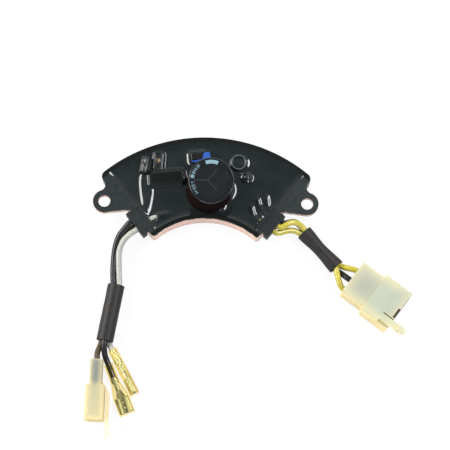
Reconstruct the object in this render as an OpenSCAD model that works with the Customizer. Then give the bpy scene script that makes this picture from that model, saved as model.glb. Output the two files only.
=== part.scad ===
// Automatic voltage regulator of a small portable generator: a resin-filled arc tray with two looms.
// It lies on its back. The origin is on the back face, midway between the mounting holes;
// +X runs along the holes, +Y towards the outer arc and +Z out of the resin.

/* [Tray] */
// Distance between the mounting holes
mount_spacing = 110; // [107:0.5:113]
// Diameter of the mounting holes
mount_hole_d = 6.5; // [5:0.1:7.5]
// Radius of the ear around each hole
ear_r = 6.2; // [5.5:0.1:6.8]
// Thickness of the ears
ear_t = 4; // [3:0.5:7]
// Radius of the hollow between an ear and its corner
neck_r = 3.3; // [3:0.1:3.5]
// Height of the tray
case_h = 12; // [11.5:0.1:13.5]
// Thickness of the tray's walls
wall = 2.2; // [1.8:0.1:2.6]
// Thickness of the tray's floor
floor_t = 2; // [1.4:0.1:2.6]
// Outer radius of the arc
outer_r = 87; // [86:0.5:90]
// Width of the tray from the outer to the inner arc
tray_depth = 45.2; // [44.6:0.1:47]
// Rise of the outer arc above the line of holes
tray_rise = 36.5; // [36:0.1:38]
// Distance of a hole's centre from the tray's end face
ear_stand = 7.08; // [6.8:0.02:7.4]
// Angle between a cavity's end wall and the tray's end face, in degrees
end_taper = 3.2; // [2.8:0.1:3.6]
// Radius of the tray's outer corners
corner_r = 3.5; // [3:0.1:4]
// Radius of the tray's inner tips
tip_r = 1.5; // [1:0.1:1.8]

/* [Board and resin] */
// Height of the posts under the board
post_h = 1.6; // [1:0.1:2]
// Thickness of the board
board_t = 1.6; // [1.2:0.1:2]
// Gap between the board and the walls
board_gap = 0.5; // [0.3:0.1:0.8]
// Depth of the resin's level below the rim
resin_drop = 1.5; // [1.2:0.1:2]
// Rise of the resin around the main capacitor
wet_rise = 1.8; // [1:0.1:2.4]
// Width of the ring that rises to the main capacitor
wet_width = 3; // [2:0.1:3.4]
// Thickness of the resin skin over what stands up in it
skin_t = 0.5; // [0.4:0.1:0.8]

/* [Capacitors] */
// Diameter of the main capacitor with its sleeve
cap_d = 25; // [23:0.5:25.5]
// Height of the main capacitor
cap_h = 28; // [24:0.5:32]
// Lean of the main capacitor to the right, in degrees
cap_lean = 4; // [0:0.5:5]
// Thickness of the shrink sleeves
sleeve_t = 0.4; // [0.3:0.05:0.6]
// Width of the sleeve's fold over the top
sleeve_fold = 3.6; // [1.5:0.1:4]
// Diameter of the small capacitor with its sleeve
small_cap_d = 8; // [6:0.1:8.4]
// Height of the small capacitor
small_cap_h = 7; // [6:0.1:9]

/* [Lead-out blocks] */
// Length of a block along the end wall
lead_len = 15.4; // [15:0.1:16]
// Length of the slot that holds it
slot_len = 12.8; // [12.4:0.1:13.4]
// Thickness of a block's body outside the wall
lead_out = 2.8; // [2.4:0.1:3.4]
// Thickness of the flange inside the wall
lead_in = 2; // [1.5:0.1:2.4]

/* [Looms] */
// Diameter of the insulated wires
wire_d = 3.2; // [2.8:0.05:3.25]
// Outer diameter of the loom sleeves
loom_d = 8.5; // [8.3:0.1:9]
// Inner diameter of the loom sleeves
loom_bore = 7.3; // [7.2:0.05:7.6]
// Length of the left loom's sleeve
left_loom_len = 31; // [24:0.5:34]
// Length of the right loom's sleeve
right_loom_len = 26; // [20:0.5:28]

/* [Spade terminals] */
// Width of the receptacle
spade_w = 7.4; // [7:0.1:8]
// Length of the receptacle
spade_len = 8.5; // [7:0.1:9.5]
// Thickness of the terminal strip
strip_t = 0.7; // [0.5:0.05:0.8]
// Wall of the clear boots
boot_t = 0.5; // [0.4:0.05:0.7]

/* [Blades] */
// Width of a blade
blade_w = 6.3; // [5.6:0.1:6.4]
// Thickness of a blade
blade_t = 0.8; // [0.6:0.05:0.9]
// Length of a blade in front of its partition
blade_reach = 9; // [7:0.1:10]

/* [One-way housing] */
// Length of the rear part
one_rear_len = 13.8; // [12:0.1:15]
// Length of the hood
one_hood_len = 18.7; // [17:0.1:20]
// Width of the hood
one_hood_w = 10; // [9.5:0.1:10.2]
// Height of the hood
one_hood_h = 12.5; // [12:0.1:13.5]
// Wall of the hood
one_hood_t = 1; // [0.8:0.1:1.2]
// Reach of the latch arm in front of the hood
one_arm_reach = 9.3; // [7:0.1:10]

/* [Six-way housing] */
// Distance between the columns of cavities
six_pitch = 6.4; // [6.2:0.05:6.8]
// Distance between the two rows of cavities
six_rows = 8.1; // [7.9:0.05:8.6]
// Length of the rear part
six_rear_len = 13.8; // [12:0.1:15]
// Length of the hood
six_hood_len = 17; // [15.5:0.1:18.5]
// Wall of the hood
six_hood_t = 1.6; // [1.4:0.1:1.8]
// Reach of the latch arm in front of the hood
six_arm_reach = 9; // [6:0.1:10]

/* [Hidden] */
$fn = 72;

// Colours
tray_black = [0.17, 0.20, 0.20];
resin_black = [0.10, 0.12, 0.13];
board_green = [0.20, 0.38, 0.24];
sleeve_black = [0.13, 0.13, 0.15];
tin = [0.66, 0.67, 0.62];
bare_aluminium = [0.75, 0.76, 0.77];
trimmer_blue = [0.18, 0.37, 0.78];
screw_brass = [0.80, 0.65, 0.30];
epoxy_black = [0.12, 0.12, 0.12];
amber = [0.72, 0.52, 0.28];
wire_black = [0.10, 0.10, 0.10];
wire_white = [0.90, 0.89, 0.80];
wire_brown = [0.35, 0.29, 0.23];
wire_yellow = [0.89, 0.86, 0.40];
loom_black = [0.23, 0.23, 0.22];
nylon = [0.89, 0.86, 0.72];
clear_vinyl = [0.93, 0.87, 0.66, 0.5];

// Clearances and overshoots
cut = 1;
slip = 0.1;

// Arc: its centre's drop below the line of holes, its radii, and half of the angle between its ends, which
// is rounded to a tenth of a degree
hole_x = mount_spacing / 2;
arc_drop = outer_r - tray_rise;
inner_r = outer_r - tray_depth;
cavity_r = outer_r - wall;
tray_angle = round(10 * (acos(ear_stand / norm([hole_x, arc_drop])) - atan2(arc_drop, hole_x))) / 10;
end_angle = tray_angle - end_taper;
inner_wall_y = inner_r + wall - arc_drop;

// Levels above the back face
board_z = floor_t + post_h;
board_top = board_z + board_t;
resin_z = case_h - resin_drop;
wire_r = wire_d / 2;
upper_bore_z = case_h - 2.2;
lower_bore_z = board_top + wire_r + 0.4;

// Lead-out blocks: places along the end wall, from the arc's centre, and of their bores
lead_mid = inner_r + 11.4;
lead_neck = (lead_mid + lead_len / 2) * tan(tray_angle - end_angle) + 0.2;
lead_face = lead_neck + lead_out;
left_bores = [[lead_mid + 3.1, upper_bore_z], [lead_mid - 2.5, upper_bore_z], [lead_mid + 0.3, lower_bore_z]];
right_bores = [
    [lead_mid + 4.8, lower_bore_z], [lead_mid + 1.3, upper_bore_z], [lead_mid - 2.2, upper_bore_z - 1.4]
];

// A point by its distance along the left end wall and its distance outside that wall's inner face
function end_point(along, out) = [
    -along * sin(end_angle) - out * cos(end_angle),
    along * cos(end_angle) - out * sin(end_angle) - arc_drop
];
function left_point(bore, out) = concat(end_point(bore[0], out), bore[1]);
function right_point(bore, out) = let (p = left_point(bore, out)) [-p[0], p[1], p[2]];

// Plan places of the parts on the board: the main capacitor stands off the inner wall, the trimmer off
// the main capacitor and the film capacitor off the outer wall
post_r = 2;
post_in = 1;
post_places = [
    [-44, 12], [44, 12], [0, tray_rise - wall - post_in - post_r], [0, inner_wall_y + post_in + post_r]
];
main_cap_gap = 1;
main_cap_at = [1.2, inner_wall_y + main_cap_gap + cap_d / 2];
main_cap_pitch = 10;
small_cap_at = [17.6, 22.6];
small_cap_pitch = 3.5;
trimmer_size = [10.4, 5, 8.6];
trimmer_gap = 2.8;
trimmer_at = [-3.1, main_cap_at[1] + cap_d / 2 + trimmer_gap + trimmer_size[1] / 2];
trimmer_turn = 6;
trimmer_stand = 0.4;
trimmer_screw_in = 1.7;
bridge_at = [-21.7, 13.6];
bridge_turn = 6;
bridge_size = [17.4, 5.4, 6.6];
film_size = [5.8, 10.8, 9.6];
film_in = 6.5;
film_x = -33.6;
film_at = [film_x, sqrt(pow(cavity_r - film_in, 2) - film_x * film_x) - arc_drop];
film_turn = -8;
dropper_at = film_at + [film_size[0] / 2 + 4.5, 2.4];
dropper_turn = 86;
dropper_z = board_top + 4.1;
driver_at = [22.2, 13.9];
power_at = [36, 14.5];
power_turn = 90;
power_tab = [9.6, 15.4, 1.3];
power_tab_hole = 3.6;
power_body = [10, 9, 4.4];
power_reach = 6.5;
power_leg = 0.5;
power_leg_z = 2.4;
power_leg_out = 4.5;
power_leg_pitch = 2.54;
diode_at = [19.6, 4.4];
diode_turn = 75;
resistor_places = [[-20, 5.6, 0], [-20.4, 0.2, 0], [9.2, 29.6, -8], [32, 24, -20]];

// A round blank of a rectangle, with its corners rounded
module rounded_rect(size, r) {
    square([size[0] - 2 * r, size[1]], center = true);
    square([size[0], size[1] - 2 * r], center = true);
    for (x = [-1, 1], y = [-1, 1])
        translate([x * (size[0] / 2 - r), y * (size[1] / 2 - r)]) circle(r);
}

// A block on z = 0 whose upright edges and top edges are rounded
module soft_block(size, r) {
    intersection() {
        linear_extrude(size[2]) rounded_rect([size[0], size[1]], r);
        rotate([90, 0, 0]) translate([0, 0, -size[1]]) linear_extrude(2 * size[1])
            top_round([size[0], size[2]], r);
        rotate([90, 0, 90]) translate([0, 0, -size[0]]) linear_extrude(2 * size[0])
            top_round([size[1], size[2]], r);
    }
}

// A rectangle on y = 0 with its two upper corners rounded
module top_round(size, r) {
    translate([-size[0] / 2, 0]) square([size[0], size[1] - r]);
    translate([r - size[0] / 2, 0]) square([size[0] - 2 * r, size[1]]);
    for (side = [-1, 1]) translate([side * (size[0] / 2 - r), size[1] - r]) circle(r);
}

// A round bar from one point to another
module bar(from, to, r) {
    step = to - from;
    flat = norm([step[0], step[1]]);
    translate(from) rotate([0, atan2(flat, step[2]), atan2(step[1], step[0])])
        cylinder(h = norm(step), r = r);
}

// A round bar with round ends
module capsule(from, to, r) {
    step = to - from;
    len = norm(step);
    translate(from) rotate([0, atan2(norm([step[0], step[1]]), step[2]), atan2(step[1], step[0])])
        rotate_extrude() intersection() {
            translate([0, -r]) square([r, len + 2 * r]);
            union() {
                circle(r);
                translate([0, len]) circle(r);
                translate([-r, 0]) square([2 * r, len]);
            }
        }
}

// A round bar that turns at each inner point of a list
module wire_run(points, r) {
    for (i = [0 : len(points) - 2]) bar(points[i], points[i + 1], r);
    for (i = [1 : len(points) - 2]) translate(points[i]) sphere(r);
}

// A wire: a tube of eight sides swept along hand-chosen points
function unit(v) = v / norm(v);
function heading(path, i) = unit(path[min(i + 1, len(path) - 1)] - path[max(i - 1, 0)]);
function ring_at(path, i, r, sides) = let (
    ahead = heading(path, i),
    side = unit(cross(ahead, [0, 0, 1])),
    top = cross(side, ahead)
) [for (k = [0 : sides - 1]) path[i] + r * (cos(360 * k / sides) * side + sin(360 * k / sides) * top)];

module swept_tube(path, r, sides = 8) {
    last = (len(path) - 1) * sides;
    points = [for (i = [0 : len(path) - 1]) each ring_at(path, i, r, sides)];
    skin = [
        for (i = [0 : len(path) - 2], k = [0 : sides - 1])
            let (a = i * sides + k, b = i * sides + (k + 1) % sides)
                each [[a, b, b + sides], [a, b + sides, a + sides]]
    ];
    first_cap = [for (k = [sides - 1 : -1 : 0]) k];
    last_cap = [for (k = [0 : sides - 1]) last + k];
    polyhedron(points, concat([first_cap], skin, [last_cap]), convexity = 8);
}

// Both ends of the tray: the left one as drawn, the right one mirrored
module both_ends() {
    for (side = [0, 1]) mirror([side, 0, 0]) children();
}

// The frame of a left end line at an angle to +Y: -X points outside and +Y along the line
module at_left_end(angle = end_angle) {
    translate([0, -arc_drop, 0]) rotate(angle) children();
}

// Takes away the tip of a corner whose rounding is a circle at c, towards e1 and e2
module corner_tip(c, e1, e2, r) {
    polygon([c, c + e1 * r, c + (e1 + e2) * 3 * r, c + e2 * r]);
}

// The arc between two radii, its ends a given distance inside the end lines, with round corners
module arc_sector(ro, ri, angle, inset, far_r, near_r) {
    far_c = [far_r + inset, sqrt(pow(ro - far_r, 2) - pow(far_r + inset, 2))];
    near_c = [near_r + inset, sqrt(pow(ri + near_r, 2) - pow(near_r + inset, 2))];
    apex = [0, inset / sin(angle)];
    reach = 2 * ro;
    side_x = reach * sin(angle);
    side_y = reach * cos(angle);
    translate([0, -arc_drop]) {
        difference() {
            intersection() {
                circle(ro, $fn = 180);
                polygon([apex, apex + [side_x, side_y], apex + [-side_x, side_y]]);
            }
            circle(ri, $fn = 180);
            for (side = [0, 1]) mirror([side, 0]) rotate(angle) {
                corner_tip(far_c, far_c / norm(far_c), [-1, 0], far_r);
                corner_tip(near_c, -near_c / norm(near_c), [-1, 0], near_r);
            }
        }
        for (side = [0, 1]) mirror([side, 0]) rotate(angle) {
            translate(far_c) circle(far_r);
            translate(near_c) circle(near_r);
        }
    }
}

module cavity_2d() {
    arc_sector(cavity_r, inner_r + wall, end_angle, 0, corner_r - wall, corner_r - wall);
}

// Plan of the left ear, in the frame of the tray's left end face
module ear_2d() {
    hole = [
        arc_drop * sin(tray_angle) - hole_x * cos(tray_angle),
        hole_x * sin(tray_angle) + arc_drop * cos(tray_angle)
    ];
    neck_c = [-neck_r, hole[1] + sqrt(pow(ear_r + neck_r, 2) - pow(neck_r + hole[0], 2))];
    root = [0, lead_mid + lead_len / 2 + 1];
    to_root = root - hole;
    turn = atan2(to_root[1], to_root[0]) - acos(ear_r / norm(to_root));
    lower = hole + ear_r * [cos(turn), sin(turn)];
    difference() {
        union() {
            translate(hole) circle(ear_r);
            polygon([hole, neck_c, [wall / 2, neck_c[1]], [wall / 2, root[1]], root, lower]);
        }
        translate(neck_c) circle(neck_r);
        translate(hole) circle(d = mount_hole_d);
    }
}

module posts() {
    for (p = post_places) translate([p[0], p[1], floor_t]) cylinder(h = post_h, r = post_r);
}

module case() {
    color(tray_black) {
        difference() {
            union() {
                linear_extrude(case_h) arc_sector(outer_r, inner_r, tray_angle, 0, corner_r, tip_r);
                both_ends() at_left_end(tray_angle) translate([0, 0, case_h - ear_t]) linear_extrude(ear_t)
                    ear_2d();
            }
            translate([0, 0, floor_t]) linear_extrude(case_h) cavity_2d();
            both_ends() at_left_end() translate([-lead_face, lead_mid - slot_len / 2, board_top])
                cube([lead_face + cut, slot_len, case_h]);
        }
        posts();
    }
}

// Lead-out block before its bores: a flange inside the wall, a neck in its slot and a body outside
module lead_blank() {
    translate([0, 0, board_top]) linear_extrude(case_h - board_top) {
        translate([-lead_face, lead_mid - lead_len / 2]) square([lead_out, lead_len]);
        translate([-lead_face, lead_mid - slot_len / 2 + slip])
            square([lead_face + lead_in, slot_len - 2 * slip]);
        translate([0, lead_mid - lead_len / 2]) square([lead_in, lead_len]);
    }
}

module lead_block(bores) {
    difference() {
        lead_blank();
        for (b = bores) translate([-lead_face - cut, b[0], b[1]]) rotate([0, 90, 0])
            cylinder(h = lead_face + lead_in + 2 * cut, d = wire_d);
    }
}

module left_lead_block() {
    color(tray_black) at_left_end() lead_block(left_bores);
}

module right_lead_block() {
    color(tray_black) mirror([1, 0, 0]) at_left_end() lead_block(right_bores);
}

// Wire tails inside the resin: from a block's outer face, down to lie on the board
tail_z = upper_bore_z - 0.4;
tail_low = board_top + wire_r;
left_tail_ends = [
    [[-34.2, 0, tail_z], [-34.6, 6, tail_z], [-34.6, 10.4, tail_low]],
    [[-26.4, -7.6, tail_z], [-22.6, -6.6, tail_z], [-18.8, -6.2, tail_low]],
    [[-30.2, -2.8, tail_z - 1], [-30.9, 1.4, tail_z], [-31, 5, tail_z], [-31, 8.6, tail_low]]
];
right_tail_ends = [
    [[33.6, -1, tail_z - 1], [33.2, 2, tail_z - 0.8], [32.6, 6, tail_low]],
    [[29.6, -1, tail_z], [28.4, 1, tail_z], [26.4, 4.4, tail_low]],
    [[26.8, -6, tail_z], [25, -4, tail_z], [22.4, -1.2, tail_low]]
];
function left_run(i) = concat(
    [left_point(left_bores[i], lead_face), left_point(left_bores[i], -lead_in - 1)], left_tail_ends[i]);
function right_run(i) = concat(
    [right_point(right_bores[i], lead_face), right_point(right_bores[i], -lead_in - 1)], right_tail_ends[i]);

module left_wire_tails() {
    tail_colours = [wire_black, wire_white, wire_brown];
    for (i = [0 : 2]) color(tail_colours[i]) swept_tube(left_run(i), wire_r);
}

module right_wire_tails() {
    tail_colours = [wire_black, wire_yellow, wire_yellow];
    for (i = [0 : 2]) color(tail_colours[i]) swept_tube(right_run(i), wire_r);
}

// Round pins through the board, from a height above it down to its underside
module pins(places, d, top) {
    for (p = places) translate([p[0], p[1], board_z]) cylinder(h = top - board_z, d = d);
}

pin_d = 1;
leg_d = 0.8;

function around(at, turn, places) = [
    for (p = places) [
        at[0] + p[0] * cos(turn) - p[1] * sin(turn),
        at[1] + p[0] * sin(turn) + p[1] * cos(turn)
    ]
];
main_cap_pins = around(main_cap_at, 0, [[-main_cap_pitch / 2, 0], [main_cap_pitch / 2, 0]]);
small_cap_pins = around(small_cap_at, 30, [[-small_cap_pitch / 2, 0], [small_cap_pitch / 2, 0]]);
trimmer_pins = around(trimmer_at, trimmer_turn, [[-2.54, 0], [0, 0], [2.54, 0]]);
bridge_pins = around(bridge_at, bridge_turn, [[-6, 0], [-2, 0], [2, 0], [6, 0]]);
film_pins = around(film_at, film_turn, [[0, -3.75], [0, 3.75]]);
dropper_span = 11;
dropper_pins = around(dropper_at, dropper_turn, [[-dropper_span / 2, 0], [dropper_span / 2, 0]]);
driver_pins = around(driver_at, 0, [[-1.27, 0], [0, 0], [1.27, 0]]);
power_legs = [for (k = [-1, 0, 1]) [k * power_leg_pitch, -power_reach - power_leg_out]];
power_pins = around(power_at, power_turn, power_legs);
diode_span = 14;
diode_pins = around(diode_at, diode_turn, [[-diode_span / 2, 0], [diode_span / 2, 0]]);
resistor_span = 9;
resistor_pins = [
    for (p = resistor_places) each around(p, p[2], [[-resistor_span / 2, 0], [resistor_span / 2, 0]])
];
thick_pins = concat(main_cap_pins, diode_pins);
thin_pins = concat(
    small_cap_pins, trimmer_pins, bridge_pins, film_pins, dropper_pins, driver_pins, power_pins, resistor_pins
);

module board_blank() {
    translate([0, 0, board_z]) linear_extrude(board_t)
        arc_sector(cavity_r - board_gap, inner_r + wall + board_gap, end_angle, board_gap,
            corner_r - wall, corner_r - wall);
}

module pin_holes(places, d) {
    for (p = places) translate([p[0], p[1], board_z - cut]) cylinder(h = board_t + 2 * cut, d = d);
}

module circuit_board() {
    color(board_green) difference() {
        board_blank();
        pin_holes(thick_pins, pin_d);
        pin_holes(thin_pins, leg_d);
    }
}

// Frame of the leaning main capacitor: its base centre, clear of the board at the low edge
cap_stand = cap_d / 2 * sin(cap_lean) + 0.1;
module at_main_cap() {
    translate([main_cap_at[0], main_cap_at[1], board_top + cap_stand]) rotate([0, cap_lean, 0]) children();
}

// Shrink sleeve folded over the top and the bottom of a can
module shrink_sleeve(d, h, fold) {
    difference() {
        cylinder(h = h, d = d);
        translate([0, 0, sleeve_t]) cylinder(h = h - 2 * sleeve_t, d = d - 2 * sleeve_t);
        translate([0, 0, -cut]) cylinder(h = h + 2 * cut, d = d - 2 * fold);
    }
}

// Can inside such a sleeve: the top and bottom discs stand level with the folds' inner faces
module sleeved_can(d, h) {
    translate([0, 0, sleeve_t]) cylinder(h = h - 2 * sleeve_t, d = d - 2 * sleeve_t);
}

// Pressure vent: three scored lines that meet off the middle of the top
module vent_score(r, top) {
    for (turn = [50, 180, 310]) translate([-r / 6, 0, top - 0.2]) rotate(turn)
        translate([0, -0.2, 0]) cube([r * 0.6, 0.4, cut]);
}

module main_capacitor_can() {
    color(bare_aluminium) {
        at_main_cap() difference() {
            sleeved_can(cap_d, cap_h);
            vent_score(cap_d / 2, cap_h - sleeve_t);
        }
        pins(main_cap_pins, pin_d, board_top + cap_stand + 2);
    }
}

module main_capacitor_sleeve() {
    color(sleeve_black) difference() {
        at_main_cap() shrink_sleeve(cap_d, cap_h, sleeve_fold);
        pins(main_cap_pins, pin_d, board_top + cap_stand + 2);
    }
}

small_cap_fold = 1.2;
module at_small_cap() {
    translate([small_cap_at[0], small_cap_at[1], board_top]) children();
}

module small_capacitor_can() {
    color(bare_aluminium) {
        at_small_cap() sleeved_can(small_cap_d, small_cap_h);
        pins(small_cap_pins, leg_d, board_top + 1);
    }
}

module small_capacitor_sleeve() {
    color(sleeve_black) at_small_cap() shrink_sleeve(small_cap_d, small_cap_h, small_cap_fold);
}

screw_d = 2.4;
screw_h = 1.6;
screw_proud = 0.6;
trimmer_top = board_top + trimmer_stand + trimmer_size[2];
module at_trimmer_screw() {
    translate([trimmer_at[0], trimmer_at[1], trimmer_top - screw_h + screw_proud]) rotate(trimmer_turn)
        translate([-trimmer_size[0] / 2 + trimmer_screw_in, 0, 0]) children();
}

module trimmer_body() {
    color(trimmer_blue) {
        difference() {
            translate([trimmer_at[0], trimmer_at[1], board_top + trimmer_stand]) rotate(trimmer_turn)
                linear_extrude(trimmer_size[2]) rounded_rect([trimmer_size[0], trimmer_size[1]], 0.4);
            at_trimmer_screw() cylinder(h = screw_h + cut, d = screw_d);
        }
        pins(trimmer_pins, leg_d, board_top + trimmer_stand + 1);
    }
}

module trimmer_screw() {
    color(screw_brass) at_trimmer_screw() difference() {
        cylinder(h = screw_h, d = screw_d);
        translate([-screw_d, -0.25, screw_h - screw_proud]) cube([2 * screw_d, 0.5, cut]);
    }
}

block_stand = 0.3;
module bridge_rectifier() {
    color(epoxy_black) {
        translate([bridge_at[0], bridge_at[1], board_top + block_stand]) rotate(bridge_turn)
            soft_block(bridge_size, 0.8);
        pins(bridge_pins, leg_d, board_top + 1);
    }
}

module film_capacitor() {
    color(epoxy_black) {
        translate([film_at[0], film_at[1], board_top + block_stand]) rotate(film_turn)
            soft_block(film_size, 1.6);
        pins(film_pins, leg_d, board_top + 1);
    }
}

// Axial part: a bellied body lying on X between two legs that turn down to the board
module axial_body(len, d, belly) {
    rotate([0, 90, 0]) translate([0, 0, -len / 2]) rotate_extrude() {
        square([d / 2, len]);
        if (belly > 0) for (y = [0, len - belly]) translate([0, y]) square([d / 2 + belly / 6, belly]);
    }
}

module axial_legs(span, z, d) {
    x = span / 2;
    wire_run([[-x, 0, board_z], [-x, 0, z], [x, 0, z], [x, 0, board_z]], d / 2);
}

module dropper_resistor() {
    color(amber) translate([dropper_at[0], dropper_at[1], 0]) rotate(dropper_turn) {
        translate([0, 0, dropper_z]) axial_body(8, 3.6, 1.8);
        axial_legs(dropper_span, dropper_z, leg_d);
    }
}

driver_stand = 1.8;
driver_h = 4.6;
driver_d = 4.8;
driver_flat = 1.3;
module driver_transistor() {
    color(epoxy_black) {
        translate([driver_at[0], driver_at[1], board_top + driver_stand]) difference() {
            cylinder(h = driver_h, d = driver_d);
            translate([-driver_d, -driver_flat - driver_d, -cut])
                cube([2 * driver_d, driver_d, driver_h + 2 * cut]);
        }
        pins(driver_pins, leg_d, board_top + driver_stand + 1);
    }
}

// Power transistor lying on its tab, its three strip legs towards the right end
module power_transistor() {
    color(epoxy_black) translate([power_at[0], power_at[1], board_top]) rotate(power_turn) {
        difference() {
            translate([-power_tab[0] / 2, power_leg - power_reach, 0]) cube(power_tab);
            translate([0, power_tab[1] - power_tab_hole / 2 - power_reach, -cut])
                cylinder(h = power_tab[2] + 2 * cut, d = power_tab_hole);
        }
        translate([-power_body[0] / 2, -power_reach, 0]) cube(power_body);
        for (p = power_legs) translate([p[0] - power_leg / 2, p[1] - power_leg / 2, 0]) {
            translate([0, 0, power_leg_z]) cube([power_leg, power_leg_out + 1, power_leg]);
            translate([0, 0, -board_t]) cube([power_leg, power_leg, board_t + power_leg_z + power_leg]);
        }
    }
}

module flyback_diode() {
    diode_d = 5.2;
    diode_z = board_top + diode_d / 2;
    color(epoxy_black) translate([diode_at[0], diode_at[1], 0]) rotate(diode_turn) {
        translate([0, 0, diode_z]) axial_body(9, diode_d, 0);
        axial_legs(diode_span, diode_z, pin_d);
    }
}

module board_resistors() {
    resistor_d = 2.2;
    resistor_z = board_top + resistor_d / 2 + 0.2;
    color(amber) for (p = resistor_places) translate([p[0], p[1], 0]) rotate(p[2]) {
        translate([0, 0, resistor_z]) axial_body(6.2, resistor_d, 1.2);
        axial_legs(resistor_span, resistor_z, leg_d);
    }
}

// Everything on the board that the resin surrounds
module board_parts() {
    at_main_cap() cylinder(h = cap_h, d = cap_d);
    pins(main_cap_pins, pin_d, board_top + cap_stand + 2);
    at_small_cap() cylinder(h = small_cap_h, d = small_cap_d);
    trimmer_body();
    trimmer_screw();
    bridge_rectifier();
    film_capacitor();
    dropper_resistor();
    driver_transistor();
    power_transistor();
    flyback_diode();
    board_resistors();
    left_wire_tails();
    right_wire_tails();
}

// Section of the resin that climbs a part at x = 0, in two slopes, over the level resin
module wet_section(width, rise) {
    polygon([[-width, -0.2], [0, -0.2], [0, rise], [-width / 3, rise / 3], [-width, 0]]);
}

// Ring of climbing resin around a round part
module wet_ring(r, width, rise) {
    rotate_extrude() translate([r, 0]) mirror([1, 0]) wet_section(width, rise);
}

// Humps and collars of resin over and around what stands up in it
module wet_parts() {
    translate([main_cap_at[0] + (resin_z - board_top) * tan(cap_lean), main_cap_at[1], resin_z])
        wet_ring(cap_d / 2 - 0.5, wet_width, wet_rise);
    translate([small_cap_at[0], small_cap_at[1], resin_z]) wet_ring(small_cap_d / 2 - 0.3, 2.4, 1.2);
    translate([trimmer_at[0], trimmer_at[1], board_top]) rotate(trimmer_turn)
        soft_block(trimmer_size + [2.6, 2.6, -1.6], 1.2);
    translate([bridge_at[0], bridge_at[1], board_top]) rotate(bridge_turn)
        soft_block(bridge_size + [2, 2, 2] * skin_t + [0, 0, -0.2], 1.2);
    translate([film_at[0], film_at[1], board_top]) rotate(film_turn)
        soft_block([film_size[0] + 1.6, film_size[1] + 0.2, resin_z - board_top + 1.4], 1.2);
    translate([dropper_at[0], dropper_at[1], board_top]) rotate(dropper_turn)
        soft_block([12.4, 7, resin_z - board_top + 1.2], 1.1);
    translate([driver_at[0], driver_at[1], board_top + driver_stand + driver_h - driver_d / 2])
        sphere(d = driver_d + 1 + 2 * skin_t);
    for (i = [0 : 2]) {
        wire_hump(left_run(i));
        wire_hump(right_run(i));
    }
}

// Hump of resin over a tail: from its block to where it dives
module wire_hump(run) {
    capsule(run[1], run[len(run) - 2], wire_r + skin_t);
}

// Slot left open in the resin over the dropper resistor
module dropper_slot() {
    translate([dropper_at[0], dropper_at[1], dropper_z]) rotate(dropper_turn) linear_extrude(case_h)
        rounded_rect([9, 4.2], 1);
}

module potting_compound() {
    stand_up = 30;
    color(resin_black) difference() {
        union() {
            translate([0, 0, floor_t]) linear_extrude(resin_z - floor_t) cavity_2d();
            intersection() {
                translate([0, 0, board_top]) linear_extrude(stand_up) cavity_2d();
                wet_parts();
            }
        }
        board_blank();
        posts();
        board_parts();
        dropper_slot();
        both_ends() at_left_end() lead_blank();
    }
}

// Spade receptacle: +X towards its mouth, the wire's end at the origin
ins_crimp_len = 3;
core_crimp_len = 3.5;
neck_len = 5;
curl_r = 1.45;
ins_crimp_r = wire_r + 0.3;
core_crimp_r = 1.3;
spade_start = ins_crimp_len + core_crimp_len + neck_len;
spade_total = spade_start + spade_len;

module spade_section() {
    curl_y = spade_w / 2 - curl_r;
    translate([-curl_y, -curl_r]) square([2 * curl_y, strip_t]);
    for (side = [-1, 1]) difference() {
        translate([side * curl_y, 0]) circle(curl_r);
        translate([side * curl_y, 0]) circle(curl_r - strip_t);
        translate([side * (curl_y - curl_r), strip_t - curl_r + 0.5]) square([2 * curl_r, 1], center = true);
    }
}

module spade_terminal() {
    difference() {
        union() {
            rotate([0, 90, 0]) cylinder(h = ins_crimp_len, r = ins_crimp_r);
            translate([ins_crimp_len - 0.5, 0, 0]) rotate([0, 90, 0])
                cylinder(h = core_crimp_len + 1.5, r = core_crimp_r);
            translate([0, 0, -curl_r]) linear_extrude(strip_t) polygon([
                [ins_crimp_len - 1, -1], [spade_start - neck_len, -1], [spade_start, 1 - spade_w / 2],
                [spade_start + 1, 1 - spade_w / 2], [spade_start + 1, spade_w / 2 - 1],
                [spade_start, spade_w / 2 - 1], [spade_start - neck_len, 1], [ins_crimp_len - 1, 1]
            ]);
            translate([spade_start, 0, 0]) rotate([90, 0, 90]) linear_extrude(spade_len) spade_section();
        }
        for (x = [0.3, 0.65]) translate([spade_start + x * spade_len, 0, -curl_r - cut])
            cylinder(h = strip_t + 2 * cut, d = 1);
    }
}

// Clear boot over such a terminal: a tail around the wire, a flare and a flat sleeve to the mouth
boot_w = spade_w + 2 * boot_t + 0.2;
boot_h = 2 * curl_r + 2 * boot_t + 0.4;
boot_tail_r = ins_crimp_r + 0.1 + boot_t;
flare_end = spade_start - 1;
boot_lip = 1;

module boot_section(shrink) {
    rounded_rect([boot_w - 2 * shrink, boot_h - 2 * shrink], boot_h / 2 - shrink - 0.2, $fn = 32);
}

module boot_form(shrink, tail) {
    extra = shrink > 0 ? cut : 0;
    translate([-tail - extra, 0, 0]) rotate([0, 90, 0])
        cylinder(h = tail + extra + ins_crimp_len, r = boot_tail_r - shrink);
    hull() {
        translate([ins_crimp_len, 0, 0]) rotate([0, 90, 0])
            cylinder(h = 0.01, r = boot_tail_r - shrink, $fn = 32);
        translate([flare_end, 0, 0]) rotate([90, 0, 90]) linear_extrude(0.01) boot_section(shrink);
    }
    translate([flare_end, 0, 0]) rotate([90, 0, 90])
        linear_extrude(spade_total + boot_lip - flare_end + extra) boot_section(shrink);
}

module spade_boot(tail) {
    difference() {
        boot_form(0, tail);
        boot_form(boot_t, tail);
    }
}

flat_spade_at = [-47.9, -95, boot_tail_r];
flat_spade_turn = -67.4;
flat_boot_tail = 7.6;
edge_spade_at = [-46, -85.4, boot_w / 2];
edge_spade_turn = -62.2;
edge_spade_roll = 78;
edge_boot_tail = 6.1;

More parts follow.
